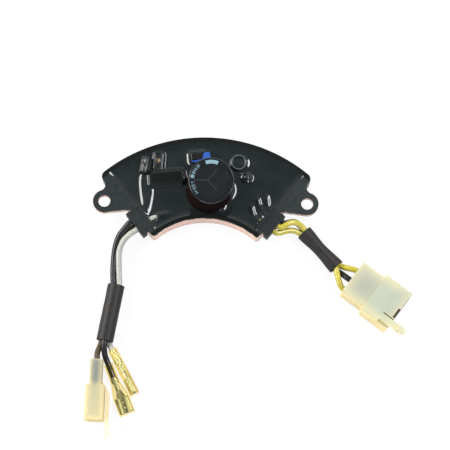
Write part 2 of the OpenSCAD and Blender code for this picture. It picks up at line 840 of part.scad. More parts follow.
module at_flat_spade() {
    translate(flat_spade_at) rotate(flat_spade_turn) children();
}

module at_edge_spade() {
    translate(edge_spade_at) rotate(edge_spade_turn) rotate([edge_spade_roll, 0, 0]) children();
}

module flat_spade_terminal() {
    color(tin) at_flat_spade() spade_terminal();
}

module flat_spade_boot() {
    color(clear_vinyl) at_flat_spade() spade_boot(flat_boot_tail);
}

module edge_spade_terminal() {
    color(tin) at_edge_spade() spade_terminal();
}

module edge_spade_boot() {
    color(clear_vinyl) at_edge_spade() spade_boot(edge_boot_tail);
}

// A bar of rounded section along +X
module rounded_bar(from, len, w, h, r) {
    translate([from, 0, 0]) rotate([90, 0, 90]) linear_extrude(len) rounded_rect([w, h], r);
}

// Blade terminal standing on edge: +X towards its tip, the wire's end at the origin
barrel_len = 6;
wire_depth = 3;
partition_t = 2.5;
cavity_w = wire_d + 1.3;
cavity_h = blade_w + 0.8;
slot_t = blade_t + 2 * slip;
slot_h = blade_w + 2 * slip;

module blade_terminal(partition_x) {
    tip_x = partition_x + partition_t + blade_reach - wire_depth;
    bevel = 1.2;
    rotate([0, 90, 0]) cylinder(h = barrel_len, r = wire_r + 0.2);
    translate([0, blade_t / 2, 0]) rotate([90, 0, 0]) linear_extrude(blade_t) polygon([
        [barrel_len - 2, -wire_r], [barrel_len, -wire_r], [barrel_len + 1.5, -blade_w / 2],
        [tip_x - bevel, -blade_w / 2], [tip_x, bevel - blade_w / 2], [tip_x, blade_w / 2 - bevel],
        [tip_x - bevel, blade_w / 2], [barrel_len + 1.5, blade_w / 2], [barrel_len, wire_r],
        [barrel_len - 2, wire_r]
    ]);
}

// Cavity for one terminal: open at the rear, with a slot for the blade through the partition
module terminal_cavity(rear_len, hood_len) {
    rounded_bar(-cut, rear_len - 1 + cut, cavity_w, cavity_h, 0.6);
    translate([rear_len - 2, -slot_t / 2, -slot_h / 2]) cube([hood_len / 2, slot_t, slot_h]);
}

// One-way housing: +X towards its mouth, rear face at the origin
one_rear_w = cavity_w + 2;
one_rear_h = cavity_h + 2.4;
one_at = [-56.75, -85.9, one_hood_h / 2];
one_turn = -91.2;
one_wire_end = one_at + wire_depth * [cos(one_turn), sin(one_turn), 0];
one_arm_t = 1.8;
one_arm_h = 5;
one_arm_gap = 0.8;

module at_one_way() {
    translate(one_at) rotate(one_turn) children();
}

module one_way_arm() {
    hood_y = one_hood_w / 2;
    inner_y = hood_y + one_arm_gap;
    outer_y = inner_y + one_arm_t;
    front = one_rear_len + one_hood_len;
    tip = front + one_arm_reach;
    hook = 1.2;
    hook_len = 4.2;
    translate([0, 0, -one_arm_h / 2]) linear_extrude(one_arm_h) polygon([
        [one_rear_len - 2.4, one_rear_w / 2 - 0.5], [one_rear_len - 2.4, one_rear_w / 2 + 0.3],
        [one_rear_len + 4.4, outer_y], [tip - hook_len, outer_y], [tip - hook_len + 0.3, outer_y + hook],
        [tip - hook_len + 1, outer_y + hook], [tip, inner_y + 0.8], [tip, inner_y],
        [one_rear_len + 3.4, inner_y],
        [one_rear_len + 2.4, hood_y - 0.5], [one_rear_len + 0.5, one_rear_w / 2 - 0.5]
    ]);
}

module one_way_housing() {
    color(nylon) at_one_way() {
        difference() {
            union() {
                rounded_bar(0, one_rear_len + 1, one_rear_w, one_rear_h, 0.8);
                rounded_bar(one_rear_len, one_hood_len, one_hood_w, one_hood_h, 1);
            }
            terminal_cavity(one_rear_len, one_hood_len);
            rounded_bar(one_rear_len - 1 + partition_t, one_hood_len + cut, one_hood_w - 2 * one_hood_t,
                one_hood_h - 2 * one_hood_t, 0.6);
        }
        one_way_arm();
    }
}

module one_way_blade() {
    color(tin) at_one_way() translate([wire_depth, 0, 0]) blade_terminal(one_rear_len - 1);
}

// Six-way housing: two rows of three cavities, the lower row in use
six_at = [79.25, -40.85];
six_turn = -36.5;
six_rear_w = 2 * six_pitch + cavity_w + 2.6;
six_rear_h = six_rows + cavity_h + 2;
six_hood_w = six_rear_w + 3.4;
six_hood_h = six_rear_h + 2.2;
six_lower_z = -six_rows / 2;
function six_wire_end(column) = [
    six_at[0] + wire_depth * cos(six_turn) - column * six_pitch * sin(six_turn),
    six_at[1] + wire_depth * sin(six_turn) + column * six_pitch * cos(six_turn),
    six_hood_h / 2 + six_lower_z
];
six_arm_w = 3.8;
six_arm_y = -six_hood_w / 2 + 3.4;
six_slit = 0.7;
six_slit_len = 6.4;

module at_six_way() {
    translate([six_at[0], six_at[1], six_hood_h / 2]) rotate(six_turn) children();
}

// Latch arm in the plane of the hood's top wall, with a hook at its round end
module six_way_arm(front) {
    top = six_hood_h / 2;
    from = front - six_slit_len - 1;
    tip = front + six_arm_reach;
    hook_w = 3;
    translate([0, six_arm_y, top - six_hood_t]) {
        linear_extrude(six_hood_t) {
            translate([from, -six_arm_w / 2]) square([tip - six_arm_w / 2 - from, six_arm_w]);
            translate([tip - six_arm_w / 2, 0]) circle(d = six_arm_w);
        }
        translate([0, hook_w / 2, six_hood_t - 0.2]) rotate([90, 0, 0]) linear_extrude(hook_w)
            polygon([[tip - 5.4, 0], [tip - 5, 1.4], [tip - 4.2, 1.4], [tip - 1.2, 0]]);
    }
}

module six_way_housing() {
    front = six_rear_len + six_hood_len;
    top = six_hood_h / 2;
    notch = [1.2, 5.8];
    notch_y = -2.2;
    color(nylon) at_six_way() {
        difference() {
            union() {
                rounded_bar(0, six_rear_len + 1, six_rear_w, six_rear_h, 1);
                rounded_bar(six_rear_len, six_hood_len, six_hood_w, six_hood_h, 1.2);
            }
            for (y = [-1, 0, 1], z = [-1, 1]) translate([0, y * six_pitch, z * six_rows / 2])
                terminal_cavity(six_rear_len, six_hood_len);
            rounded_bar(six_rear_len - 1 + partition_t, six_hood_len + cut, six_hood_w - 2 * six_hood_t,
                six_hood_h - 2 * six_hood_t, 0.8);
            translate([front - six_slit_len, -six_hood_w / 2 - cut, top - six_hood_t - six_slit])
                cube([six_slit_len + cut, six_arm_y + six_arm_w / 2 + six_slit + six_hood_w / 2 + cut,
                    six_hood_t + six_slit + cut]);
            translate([front - notch[0], notch_y - notch[1] / 2, top - six_hood_t - cut])
                cube([notch[0] + cut, notch[1], six_hood_t + 2 * cut]);
        }
        six_way_arm(front);
    }
}

module six_way_blade(column) {
    color(tin) at_six_way() translate([wire_depth, column * six_pitch, six_lower_z])
        blade_terminal(six_rear_len - 1);
}

module upper_six_way_blade() {
    six_way_blade(1);
}

module middle_six_way_blade() {
    six_way_blade(0);
}

module lower_six_way_blade() {
    six_way_blade(-1);
}

// First points of a wire: at its block's outer face and straight out of it
exit_step = 1;
function left_exit(i) = [
    left_point(left_bores[i], lead_face), left_point(left_bores[i], lead_face + exit_step)
];
function right_exit(i) = [
    right_point(right_bores[i], lead_face), right_point(right_bores[i], lead_face + exit_step)
];

// Points of a wire in a loom sleeve: it lies against the bore at an angle that turns along the sleeve
left_loom_at = [-50.4, -60.2];
left_loom_turn = -100;
left_loom_twist = -60;
right_loom_at = [62.6, -23.8];
right_loom_turn = -47;
right_loom_twist = -60;
lay_r = (loom_bore - wire_d) / 2 - slip;
function loom_points(at, turn, len, angle, twist) = [
    for (t = [-0.5 : 0.25 : 0.5]) let (side = lay_r * cos(angle + twist * t)) [
        at[0] + len * t * cos(turn) - side * sin(turn), at[1] + len * t * sin(turn) + side * cos(turn),
        loom_d / 2 + lay_r * sin(angle + twist * t)
    ]
];
function in_left_loom(angle) =
    loom_points(left_loom_at, left_loom_turn, left_loom_len, angle, left_loom_twist);
function in_right_loom(angle) =
    loom_points(right_loom_at, right_loom_turn, right_loom_len, angle, right_loom_twist);

// Last points of a wire: straight into its terminal
function wire_end(at, turn) = [at - exit_step * [cos(turn), sin(turn), 0], at];

left_black_route = concat(
    left_exit(0),
    [[-43.6, -14.2, 9], [-46.8, -18.4, 7.4], [-48.7, -24.4, 6.2], [-49.4, -31, 5.4], [-49.6, -38, 5.2]],
    in_left_loom(120),
    [[-53.25, -78, 6], [-53.05, -81, 4.9], [-52.5, -84, 3.2], [-51.3, -86.8, 2.5], [-49.4, -91.4, 2.5]],
    wire_end(flat_spade_at, flat_spade_turn)
);
left_white_route = concat(
    left_exit(1),
    [[-40.6, -17.6, 9.6], [-44.4, -21.6, 8.8], [-46.4, -27.2, 7.6], [-46.5, -34, 6.4], [-46.2, -40, 5.5]],
    in_left_loom(0),
    [[-50.4, -77.6, 3.7], [-48.9, -80, 4.2], [-47.4, -82.7, 4.3]],
    wire_end(edge_spade_at, edge_spade_turn)
);
left_brown_route = concat(
    left_exit(2),
    [[-42, -15.8, 5.6], [-45, -19.4, 4.2], [-46.7, -25, 2.8], [-47, -32, 2], [-47.3, -39, 2.1]],
    in_left_loom(-120),
    [[-55.55, -78.2, 3.5], [-56.6, -81.4, 4.8], [-56.75, -84, 6]],
    wire_end(one_wire_end, one_turn)
);
right_black_route = concat(
    right_exit(0),
    [[45, -9.4, 6.4], [48.2, -8.6, 5.4], [51.4, -10.4, 3.8]],
    in_right_loom(-90),
    [[74.2, -36.8, 3.8], [77, -39.1, 5]],
    wire_end(six_wire_end(0), six_turn)
);
right_upper_yellow_route = concat(
    right_exit(1),
    [[42.6, -12.3, 10], [45.4, -10.4, 9.8], [48.6, -9.8, 8.8], [51.7, -11, 7.2]],
    in_right_loom(30),
    [[76.5, -33.6, 4.6], [80, -34.4, 5.2], [83.1, -35.7, 5.6]],
    wire_end(six_wire_end(1), six_turn)
);
right_lower_yellow_route = concat(
    right_exit(2),
    [[40, -15.4, 7.7], [43.6, -14.2, 6.8], [47.2, -13.6, 5.8], [50.2, -14.2, 4.8]],
    in_right_loom(150),
    [[71.5, -37, 6.4], [72.4, -40.4, 6.1], [73.6, -43.8, 5.8], [75.4, -46, 5.65]],
    wire_end(six_wire_end(-1), six_turn)
);

module left_black_wire() {
    color(wire_black) swept_tube(left_black_route, wire_r);
}

module left_white_wire() {
    color(wire_white) swept_tube(left_white_route, wire_r);
}

module left_brown_wire() {
    color(wire_brown) swept_tube(left_brown_route, wire_r);
}

module right_black_wire() {
    color(wire_black) swept_tube(right_black_route, wire_r);
}

module right_upper_yellow_wire() {
    color(wire_yellow) swept_tube(right_upper_yellow_route, wire_r);
}

module right_lower_yellow_wire() {
    color(wire_yellow) swept_tube(right_lower_yellow_route, wire_r);
}

// Loom sleeves: straight soft tubes lying on the table
module loom_sleeve(at, turn, len) {
    translate([at[0], at[1], loom_d / 2]) rotate([0, 90, turn]) translate([0, 0, -len / 2]) difference() {
        cylinder(h = len, d = loom_d);
        translate([0, 0, -cut]) cylinder(h = len + 2 * cut, d = loom_bore);
    }
}

module left_loom_sleeve() {
    color(loom_black) loom_sleeve(left_loom_at, left_loom_turn, left_loom_len);
}

module right_loom_sleeve() {
    color(loom_black) loom_sleeve(right_loom_at, right_loom_turn, right_loom_len);
}

case();
circuit_board();
potting_compound();
main_capacitor_can();
main_capacitor_sleeve();
small_capacitor_can();
small_capacitor_sleeve();
trimmer_body();
trimmer_screw();
bridge_rectifier();
film_capacitor();
dropper_resistor();
driver_transistor();
power_transistor();
flyback_diode();
board_resistors();
left_lead_block();
right_lead_block();
left_wire_tails();
right_wire_tails();
left_black_wire();
left_white_wire();
left_brown_wire();
left_loom_sleeve();
flat_spade_terminal();
flat_spade_boot();
edge_spade_terminal();
edge_spade_boot();
one_way_housing();
one_way_blade();
right_black_wire();
right_upper_yellow_wire();
right_lower_yellow_wire();
right_loom_sleeve();
six_way_housing();
upper_six_way_blade();
middle_six_way_blade();
lower_six_way_blade();
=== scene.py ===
"""Looks of a potted automatic voltage regulator: resin relief, looms and nylon connectors."""

import math
from collections import namedtuple

import bmesh
import bpy
import numpy as np
from mathutils import Matrix, Vector, noise


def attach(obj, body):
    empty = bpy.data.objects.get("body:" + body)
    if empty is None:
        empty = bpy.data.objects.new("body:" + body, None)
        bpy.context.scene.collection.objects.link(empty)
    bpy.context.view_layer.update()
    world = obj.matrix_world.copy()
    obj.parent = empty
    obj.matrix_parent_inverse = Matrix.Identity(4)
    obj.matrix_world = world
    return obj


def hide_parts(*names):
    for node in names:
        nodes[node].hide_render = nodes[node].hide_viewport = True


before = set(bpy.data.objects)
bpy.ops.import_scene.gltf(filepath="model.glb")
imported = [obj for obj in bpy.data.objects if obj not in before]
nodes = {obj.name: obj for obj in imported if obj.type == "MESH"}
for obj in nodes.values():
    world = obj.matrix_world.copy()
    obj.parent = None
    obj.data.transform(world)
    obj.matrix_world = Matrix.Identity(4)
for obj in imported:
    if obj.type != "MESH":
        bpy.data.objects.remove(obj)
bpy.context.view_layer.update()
MM = 0.001

# Sizes and places shared with the part's source, in mm
ARC_DROP = 50.5
ARC_CENTRE = (0, -ARC_DROP)
END_DEGREES = 38.8
END_ANGLE = math.radians(END_DEGREES)
TRAY_ANGLE = math.radians(42.0)
CAVITY_OUT = 84.8
CAVITY_IN = 44.0
BOARD_TOP = 5.2
RESIN_Z = 10.5
CASE_H = 12.0

SLIP = 0.1
WIRE_R = 1.6
LEAD_IN = 2.0
LEAD_OUT = 2.8
LEAD_MID = 53.2
LEAD_LEN = 15.4
LEAD_NECK = (LEAD_MID + LEAD_LEN / 2) * math.tan(TRAY_ANGLE - END_ANGLE) + 0.2
LEAD_FACE = LEAD_NECK + LEAD_OUT
UPPER_BORE_Z = CASE_H - 2.2
LOWER_BORE_Z = BOARD_TOP + WIRE_R + 0.4
LEFT_BORES = [(56.3, UPPER_BORE_Z), (50.7, UPPER_BORE_Z), (53.5, LOWER_BORE_Z)]
RIGHT_BORES = [(58.0, LOWER_BORE_Z), (54.5, UPPER_BORE_Z), (51.0, UPPER_BORE_Z - 1.4)]

CAP_AT = (1.2, 7.0)
CAP_LEAN = math.radians(4)
CAP_R, CAP_H = 12.5, 28.0
CAP_STAND = CAP_R * math.sin(CAP_LEAN) + SLIP
SMALL_AT = (17.6, 22.6)
TRIMMER_AT, TRIMMER_TURN = (-3.1, 24.8), 6.0
TRIMMER_HALF = (5.2, 2.5)
BRIDGE_AT, BRIDGE_TURN = (-21.7, 13.6), 6.0
FILM_AT, FILM_TURN = (-33.6, 20.2), -8.0
FILM_HALF = (2.9, 5.4, 4.8)
DROPPER_AT, DROPPER_TURN = (-26.2, 22.6), -4.0

Loom = namedtuple("Loom", "at heading length twist")
LOOM_BORE, LOOM_D = 7.3, 8.5
LAY_R = (LOOM_BORE - 2 * WIRE_R) / 2 - SLIP
LEFT_LOOM = Loom((-50.4, -60.2), math.radians(-100), 31.0, math.radians(-60))
RIGHT_LOOM = Loom((62.6, -23.8), math.radians(-47), 26.0, math.radians(-60))

Housing = namedtuple("Housing", "at turn rear_len rear_half hood_half front")
ONE_WAY = Housing((-56.75, -85.9, 6.25), -91.2, rear_len=13.8, rear_half=3.25, hood_half=5.0, front=32.5)
SIX_WAY = Housing((79.25, -40.85, 9.7), -36.5, rear_len=13.8, rear_half=9.95, hood_half=11.65, front=30.8)
FLAT_SPADE, FLAT_TURN = (-47.9, -95.0, 2.5), -67.4
EDGE_SPADE, EDGE_TURN = (-46.0, -85.4, 4.3), -62.2
WIRE_DEPTH = 3.0
SIX_PITCH = 6.4
SIX_LOWER = -4.05


def turned(at, angle, along, across):
    """The place in plan that lies so far along and across a direction from another."""
    c, s = math.cos(angle), math.sin(angle)
    return at[0] + along * c - across * s, at[1] + along * s + across * c


def left_point(bore, out):
    """A point at a bore of the left lead-out block, so far out from the end wall."""
    return (*turned(ARC_CENTRE, END_ANGLE, -out, bore[0]), bore[1])


def right_point(bore, out):
    x, y, z = left_point(bore, out)
    return (-x, y, z)


def add_object(name, data):
    obj = bpy.data.objects.new(name, data)
    bpy.context.scene.collection.objects.link(obj)
    return obj


# Camera, in metres
ELEVATION = math.radians(77.5)
ROLL = math.radians(0.82)
CAMERA_AT = (0.010610, -0.207218, 0.890666)
LENS, SENSOR = 133.2, 36.0


def build_camera():
    forward = Vector((0, math.cos(ELEVATION), -math.sin(ELEVATION)))
    level = Vector((1, 0, 0))
    rise = level.cross(forward)
    right = math.cos(ROLL) * level + math.sin(ROLL) * rise
    up = -math.sin(ROLL) * level + math.cos(ROLL) * rise
    data = bpy.data.cameras.new("camera")
    data.sensor_fit = "HORIZONTAL"
    data.sensor_width = SENSOR
    data.lens = LENS
    camera = add_object("camera", data)
    turn = Matrix((right, up, -forward)).transposed().to_4x4()
    camera.matrix_world = Matrix.Translation(CAMERA_AT) @ turn
    return camera


bpy.context.scene.camera = build_camera()
bpy.context.scene.view_settings.view_transform = "Standard"


# Shader nodes
class Nodes:
    """Short ways to add and wire the nodes of a shader tree."""

    def __init__(self, tree):
        self.tree = tree

    def add(self, kind, inputs=None, **settings):
        """A new node with its settings, and with values or other nodes' outputs fed to its inputs."""
        made = self.tree.nodes.new("ShaderNode" + kind)
        for key, value in settings.items():
            setattr(made, key, value)
        for key, value in (inputs or {}).items():
            self.feed(made.inputs[key], value)
        return made

    def feed(self, socket, value):
        """Give a socket a number, a vector, a colour or another node's output."""
        if isinstance(value, bpy.types.NodeSocket):
            self.tree.links.new(value, socket)
        elif socket.type == "RGBA":
            socket.default_value = (*value, 1)
        else:
            socket.default_value = value

    def calc(self, operation, *values):
        return self.add("Math", dict(enumerate(values)), operation=operation).outputs[0]

    def rest(self, share):
        """What a share leaves of 1."""
        return self.calc("SUBTRACT", 1.0, share)

    def product(self, first, *others):
        for other in others:
            first = self.calc("MULTIPLY", first, other)
        return first

    def step(self, value, low, high, form="SMOOTHSTEP"):
        """0 below low, 1 above high and a ramp between."""
        inputs = {"Value": value, "From Min": low, "From Max": high}
        return self.add("MapRange", inputs, interpolation_type=form).outputs["Result"]

    def between(self, value, low, high, form="SMOOTHSTEP"):
        """The same step with its limits in mm."""
        return self.step(value, low * MM, high * MM, form)

    def mix(self, factor, a, b):
        return self.add("Mix", {"Factor": factor, "A": a, "B": b}, data_type="RGBA").outputs["Result"]

    def ramp(self, value, stops):
        made = self.add("ValToRGB", {"Fac": value})
        elements = made.color_ramp.elements
        while len(elements) < len(stops):
            elements.new(0.5)
        for element, (at, colour) in zip(elements, stops):
            element.position = at
            element.color = (*colour, 1)
        return made.outputs["Color"]

    def tones(self, value, dark, light, low=0.3, high=0.7):
        return self.ramp(value, [(low, dark), (high, light)])

    def axes(self, vector):
        return self.add("SeparateXYZ", {"Vector": vector}).outputs

    def coordinates(self, kind):
        return self.add("TexCoord").outputs[kind]

    def facing_up(self):
        """How far a surface faces up, from its own normal."""
        return self.axes(self.coordinates("Normal"))["Z"]

    def local_axes(self, at, degrees):
        """Object coordinates in a piece's own frame: along it, across it and up."""
        turn = math.radians(-degrees)
        shift = -(Matrix.Rotation(turn, 3, "Z") @ Vector(at)) * MM
        inputs = {"Vector": self.coordinates("Object"), "Rotation": (0, 0, turn), "Location": shift}
        return self.axes(self.add("Mapping", inputs).outputs["Vector"])

    def cloud(self, scale, detail=4.0, roughness=0.55, stretch=(1, 1, 1)):
        """Noise in the object's own coordinates."""
        place = self.add("Mapping", {"Vector": self.coordinates("Object"), "Scale": stretch}).outputs[0]
        inputs = {"Vector": place, "Scale": scale, "Detail": detail, "Roughness": roughness}
        return self.add("TexNoise", inputs).outputs["Fac"]


class Finish(Nodes):
    """A material under way, with its Principled shader."""

    def __init__(self, name):
        self.material = bpy.data.materials.new(name)
        self.material.use_nodes = True
        super().__init__(self.material.node_tree)
        self.bsdf = self.tree.nodes["Principled BSDF"]
        self.out = self.tree.nodes["Material Output"]

    def set(self, name, value):
        self.feed(self.bsdf.inputs[name], value)

    def roughness(self, value, low, high):
        made = self.add("MapRange", {"Value": value, "To Min": low, "To Max": high})
        self.set("Roughness", made.outputs["Result"])

    def grain(self, scale, strength, depth, roughness=0.55):
        """A fine unevenness of the surface, with its depth in mm."""
        height = self.cloud(scale, 3.0, roughness)
        made = self.add("Bump", {"Height": height, "Strength": strength, "Distance": depth * MM})
        self.set("Normal", made.outputs["Normal"])

    def attribute(self, name):
        return self.add("Attribute", attribute_name=name).outputs["Fac"]

    def show_blend(self, share, first, second):
        """Put a blend of two shaders on the surface."""
        made = self.add("MixShader", {0: share, 1: first.outputs[0], 2: second.outputs[0]})
        self.feed(self.out.inputs["Surface"], made.outputs[0])


# Floor, sky and lights, in metres and watts
FLOOR_HALF, FLOOR_DROP = 6.0, 0.0002
FLOOR_SEEN = 0.90
SKY = [(0.03, (0.95, 0.96, 0.97)), (0.78, (0.25, 0.28, 0.28)), (1.0, (0.10, 0.108, 0.108))]
SKY_LEAN, SKY_SCALE = -0.4, 0.9
LIGHT_AIM = Vector((0.01, -0.02, 0))


def floor_material():
    """Matt white for the light that it sends on, and nearly plain white where it is seen."""
    f = Finish("floor_white")
    f.tree.nodes.remove(f.bsdf)
    matt = f.add("BsdfDiffuse", {"Color": (0.86, 0.86, 0.86)})
    glow = f.add("Emission", {"Color": (1, 1, 1)})
    ray = f.add("LightPath").outputs
    seen = f.calc("MAXIMUM", ray["Is Camera Ray"], ray["Is Glossy Ray"])
    seen = f.calc("MAXIMUM", seen, ray["Is Transmission Ray"])
    f.show_blend(f.calc("MULTIPLY", seen, FLOOR_SEEN), matt, glow)
    return f.material


def build_floor():
    s = FLOOR_HALF
    mesh = bpy.data.meshes.new("floor")
    mesh.from_pydata([(-s, -s, 0), (s, -s, 0), (s, s, 0), (-s, s, 0)], [], [(0, 1, 2, 3)])
    mesh.materials.append(floor_material())
    floor = add_object("floor", mesh)
    floor.location.z = -FLOOR_DROP
    return floor


def build_sky():
    """White to the eye, and to everything else dark overhead and bright at the horizon."""
    world = bpy.data.worlds.new("studio")
    world.use_nodes = True
    w = Nodes(world.node_tree)
    background = w.tree.nodes["Background"]
    axes = w.axes(w.coordinates("Generated"))
    rise = w.calc("MULTIPLY_ADD", axes["Y"], SKY_LEAN, axes["Z"])
    colour = w.ramp(w.calc("MULTIPLY", rise, SKY_SCALE), SKY)
    seen = w.add("LightPath").outputs["Is Camera Ray"]
    w.feed(background.inputs["Color"], w.mix(seen, colour, (1, 1, 1)))
    return world


def softbox(name, place, size, power, colour):
    data = bpy.data.lights.new(name, "AREA")
    data.shape = "RECTANGLE"
    data.size, data.size_y = size
    data.energy = power
    data.color = colour
    lamp = add_object(name, data)
    lamp.location = place
    lamp.rotation_euler = (LIGHT_AIM - Vector(place)).to_track_quat("-Z", "Y").to_euler()


build_floor()
bpy.context.scene.world = build_sky()
softbox("left_softbox", (-0.60, 0.10, 0.44), size=(0.76, 0.23), power=8.4, colour=(1.0, 1.0, 0.98))
softbox("right_softbox", (0.48, 0.14, 0.68), size=(0.56, 0.20), power=6.5, colour=(0.96, 0.95, 1.0))
softbox("front_softbox", (0.34, -0.66, 0.42), size=(0.09, 0.06), power=1.5, colour=(0.55, 0.55, 1.0))


# Meshes
def mesh_object(name, verts, faces, sharp=180):
    """A smooth mesh from points in mm; edges that turn by more than sharp, in degrees, stay hard."""
    mesh = bpy.data.meshes.new(name)
    points = [tuple(float(c) * MM for c in v) for v in verts]
    mesh.from_pydata(points, [], [tuple(map(int, f)) for f in faces])
    mesh.validate()
    mesh.polygons.foreach_set("use_smooth", [True] * len(mesh.polygons))
    if sharp < 180:
        mesh.set_sharp_from_angle(angle=math.radians(sharp))
    return add_object(name, mesh)


def finish_piece(obj, mats, *replaced, slot=None):
    """Give a piece its materials, hang it under the root and hide the CAD nodes that it replaces."""
    for mat in mats if isinstance(mats, list) else [mats]:
        obj.data.materials.append(mat)
    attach(obj, "root")
    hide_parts(*replaced)
    return obj


def set_attribute(obj, name, values):
    layer = obj.data.attributes.new(name, "FLOAT", "POINT")
    layer.data.foreach_set("value", np.asarray(values, np.float32))


def weigh_normals(mesh):
    """Normals by face area, so that broad faces shade flat and the rounding takes the turn."""
    summed = np.zeros((len(mesh.vertices), 3))
    for face in mesh.polygons:
        summed[list(face.vertices)] += np.array(face.normal) * face.area
    length = np.linalg.norm(summed, axis=1)[:, None]
    mesh.normals_split_custom_set_from_vertices(summed / np.maximum(length, 1e-20))


SAME_POINT = 2e-6
FLAT_ANGLE = math.radians(0.6)
SHARP_ANGLE = math.radians(30.0)


def bevelled(node_name, name, width, segments):
    """A copy of a CAD node with its sharp edges rounded."""
    bm = bmesh.new()
    bm.from_mesh(nodes[node_name].data)
    bmesh.ops.remove_doubles(bm, verts=bm.verts, dist=SAME_POINT)
    bmesh.ops.dissolve_limit(bm, angle_limit=FLAT_ANGLE, verts=bm.verts, edges=bm.edges)
    sharp = [e for e in bm.edges if len(e.link_faces) == 2 and e.calc_face_angle() > SHARP_ANGLE]
    rounding = {"offset": width * MM, "offset_type": "OFFSET", "segments": segments, "profile": 0.5}
    bmesh.ops.bevel(bm, geom=sharp, affect="EDGES", clamp_overlap=True, **rounding)
    bmesh.ops.recalc_face_normals(bm, faces=bm.faces)
    mesh = bpy.data.meshes.new(name)
    bm.to_mesh(mesh)
    bm.free()
    mesh.polygons.foreach_set("use_smooth", [True] * len(mesh.polygons))
    weigh_normals(mesh)
    return add_object(name, mesh)


def on_line(t, t_a, a, t_b, b):
    """The point for t on the line that passes a at t_a and b at t_b."""
    return (t_b - t) / (t_b - t_a) * a + (t - t_a) / (t_b - t_a) * b


def smooth_path(points, count, steps=24):
    """Evenly spaced points on a Catmull-Rom curve through the given ones, and its length."""
    p = np.asarray(points, float)
    p = np.vstack([2 * p[0] - p[1], p, 2 * p[-1] - p[-2]])
    dense = []
    for i in range(1, len(p) - 2):
        gaps = np.linalg.norm(np.diff(p[i - 1 : i + 3], axis=0), axis=1) ** 0.5
        t0, t1, t2, t3 = np.r_[0, np.cumsum(gaps)]
        for t in np.linspace(t1, t2, steps, endpoint=False):
            a1 = on_line(t, t0, p[i - 1], t1, p[i])
            a2 = on_line(t, t1, p[i], t2, p[i + 1])
            a3 = on_line(t, t2, p[i + 1], t3, p[i + 2])
            b1 = on_line(t, t0, a1, t2, a2)
            b2 = on_line(t, t1, a2, t3, a3)
            dense.append(on_line(t, t1, b1, t2, b2))
    dense.append(p[-2])
    dense = np.array(dense)
    gone = np.r_[0, np.cumsum(np.linalg.norm(np.diff(dense, axis=0), axis=1))]
    at = np.linspace(0, gone[-1], count)
    return np.stack([np.interp(at, gone, dense[:, k]) for k in range(3)], 1), gone[-1]


def ring_quads(rings, sides, closed=False):
    """Quads of a tube whose points come ring by ring; closed joins the last ring to the first."""
    faces = []
    for i in range(rings if closed else rings - 1):
        here, there = i * sides, (i + 1) % rings * sides
        for k in range(sides):
            n = (k + 1) % sides
            faces.append((here + k, here + n, there + n, there + k))
    return faces


def sweep(path, radius, sides):
    """Points and faces of a closed tube along a path."""
    ahead = np.gradient(path, axis=0)
    ahead /= np.linalg.norm(ahead, axis=1)[:, None]
    side = np.cross(ahead[0], (0, 0, 1.0))
    side /= np.linalg.norm(side)
    verts = []
    for place, heading in zip(path, ahead):
        side = side - heading * side.dot(heading)
        side /= np.linalg.norm(side)
        top = np.cross(side, heading)
        for k in range(sides):
            a = 2 * math.pi * k / sides
            verts.append(place + radius * (math.cos(a) * side + math.sin(a) * top))
    faces = ring_quads(len(path), sides)
    faces.append(tuple(range(sides - 1, -1, -1)))
    faces.append(tuple(range(len(verts) - sides, len(verts))))
    return verts, faces


# Plain materials: a base colour, a lighter tone of it, uneven gloss and a fine grain
def plastic(name, base, light, tone_scale, rough, grain_scale, grain, specular=0.5):
    f = Finish(name)
    tone = f.cloud(tone_scale, 5.0, 0.6)
    f.set("Base Color", f.tones(tone, base, tuple(min(1.0, c * light) for c in base)))
    f.roughness(tone, *rough)
    f.grain(grain_scale, *grain, roughness=0.6)
    f.set("Specular IOR Level", specular)
    return f.material


def vinyl(name, base, light, rough, specular=0.4):
    return plastic(name, base, light, 420, rough, 1500, (0.2, 0.04), specular)


block_mat = plastic(
    "lead_block_rubber", (0.0062, 0.0092, 0.0092), 1.5, 600, (0.5, 0.7), 3000, (0.4, 0.05), specular=0.25
)
film_mat = plastic("component_epoxy", (0.008, 0.009, 0.008), 2.2, 900, (0.22, 0.36), 2200, (0.25, 0.06))
sleeve_mat = plastic(
    "loom_vinyl", (0.0118, 0.0105, 0.0092), 1.6, 380, (0.42, 0.6), 1800, (0.3, 0.05), specular=0.25
)
board_mat = plastic("board_laminate", (0.05, 0.14, 0.07), 1.5, 500, (0.4, 0.6), 2500, (0.2, 0.03))
WIRE_MATS = {
    "black_wire": vinyl("black_wire_vinyl", (0.008, 0.008, 0.0085), 1.8, (0.25, 0.4), specular=0.35),
    "white_wire": vinyl("white_wire_vinyl", (0.28, 0.29, 0.245), 1.3, (0.24, 0.38)),
    "brown_wire": vinyl("brown_wire_vinyl", (0.047, 0.032, 0.016), 1.5, (0.3, 0.45), specular=0.3),
    "yellow_wire": vinyl("yellow_wire_vinyl", (0.38, 0.325, 0.035), 1.3, (0.18, 0.3), specular=0.6),
}
blue_mat = vinyl("trimmer_blue", (0.014, 0.058, 0.25), 1.3, (0.25, 0.4))
amber_mat = vinyl("resistor_lacquer", (0.15, 0.10, 0.04), 1.7, (0.25, 0.4))


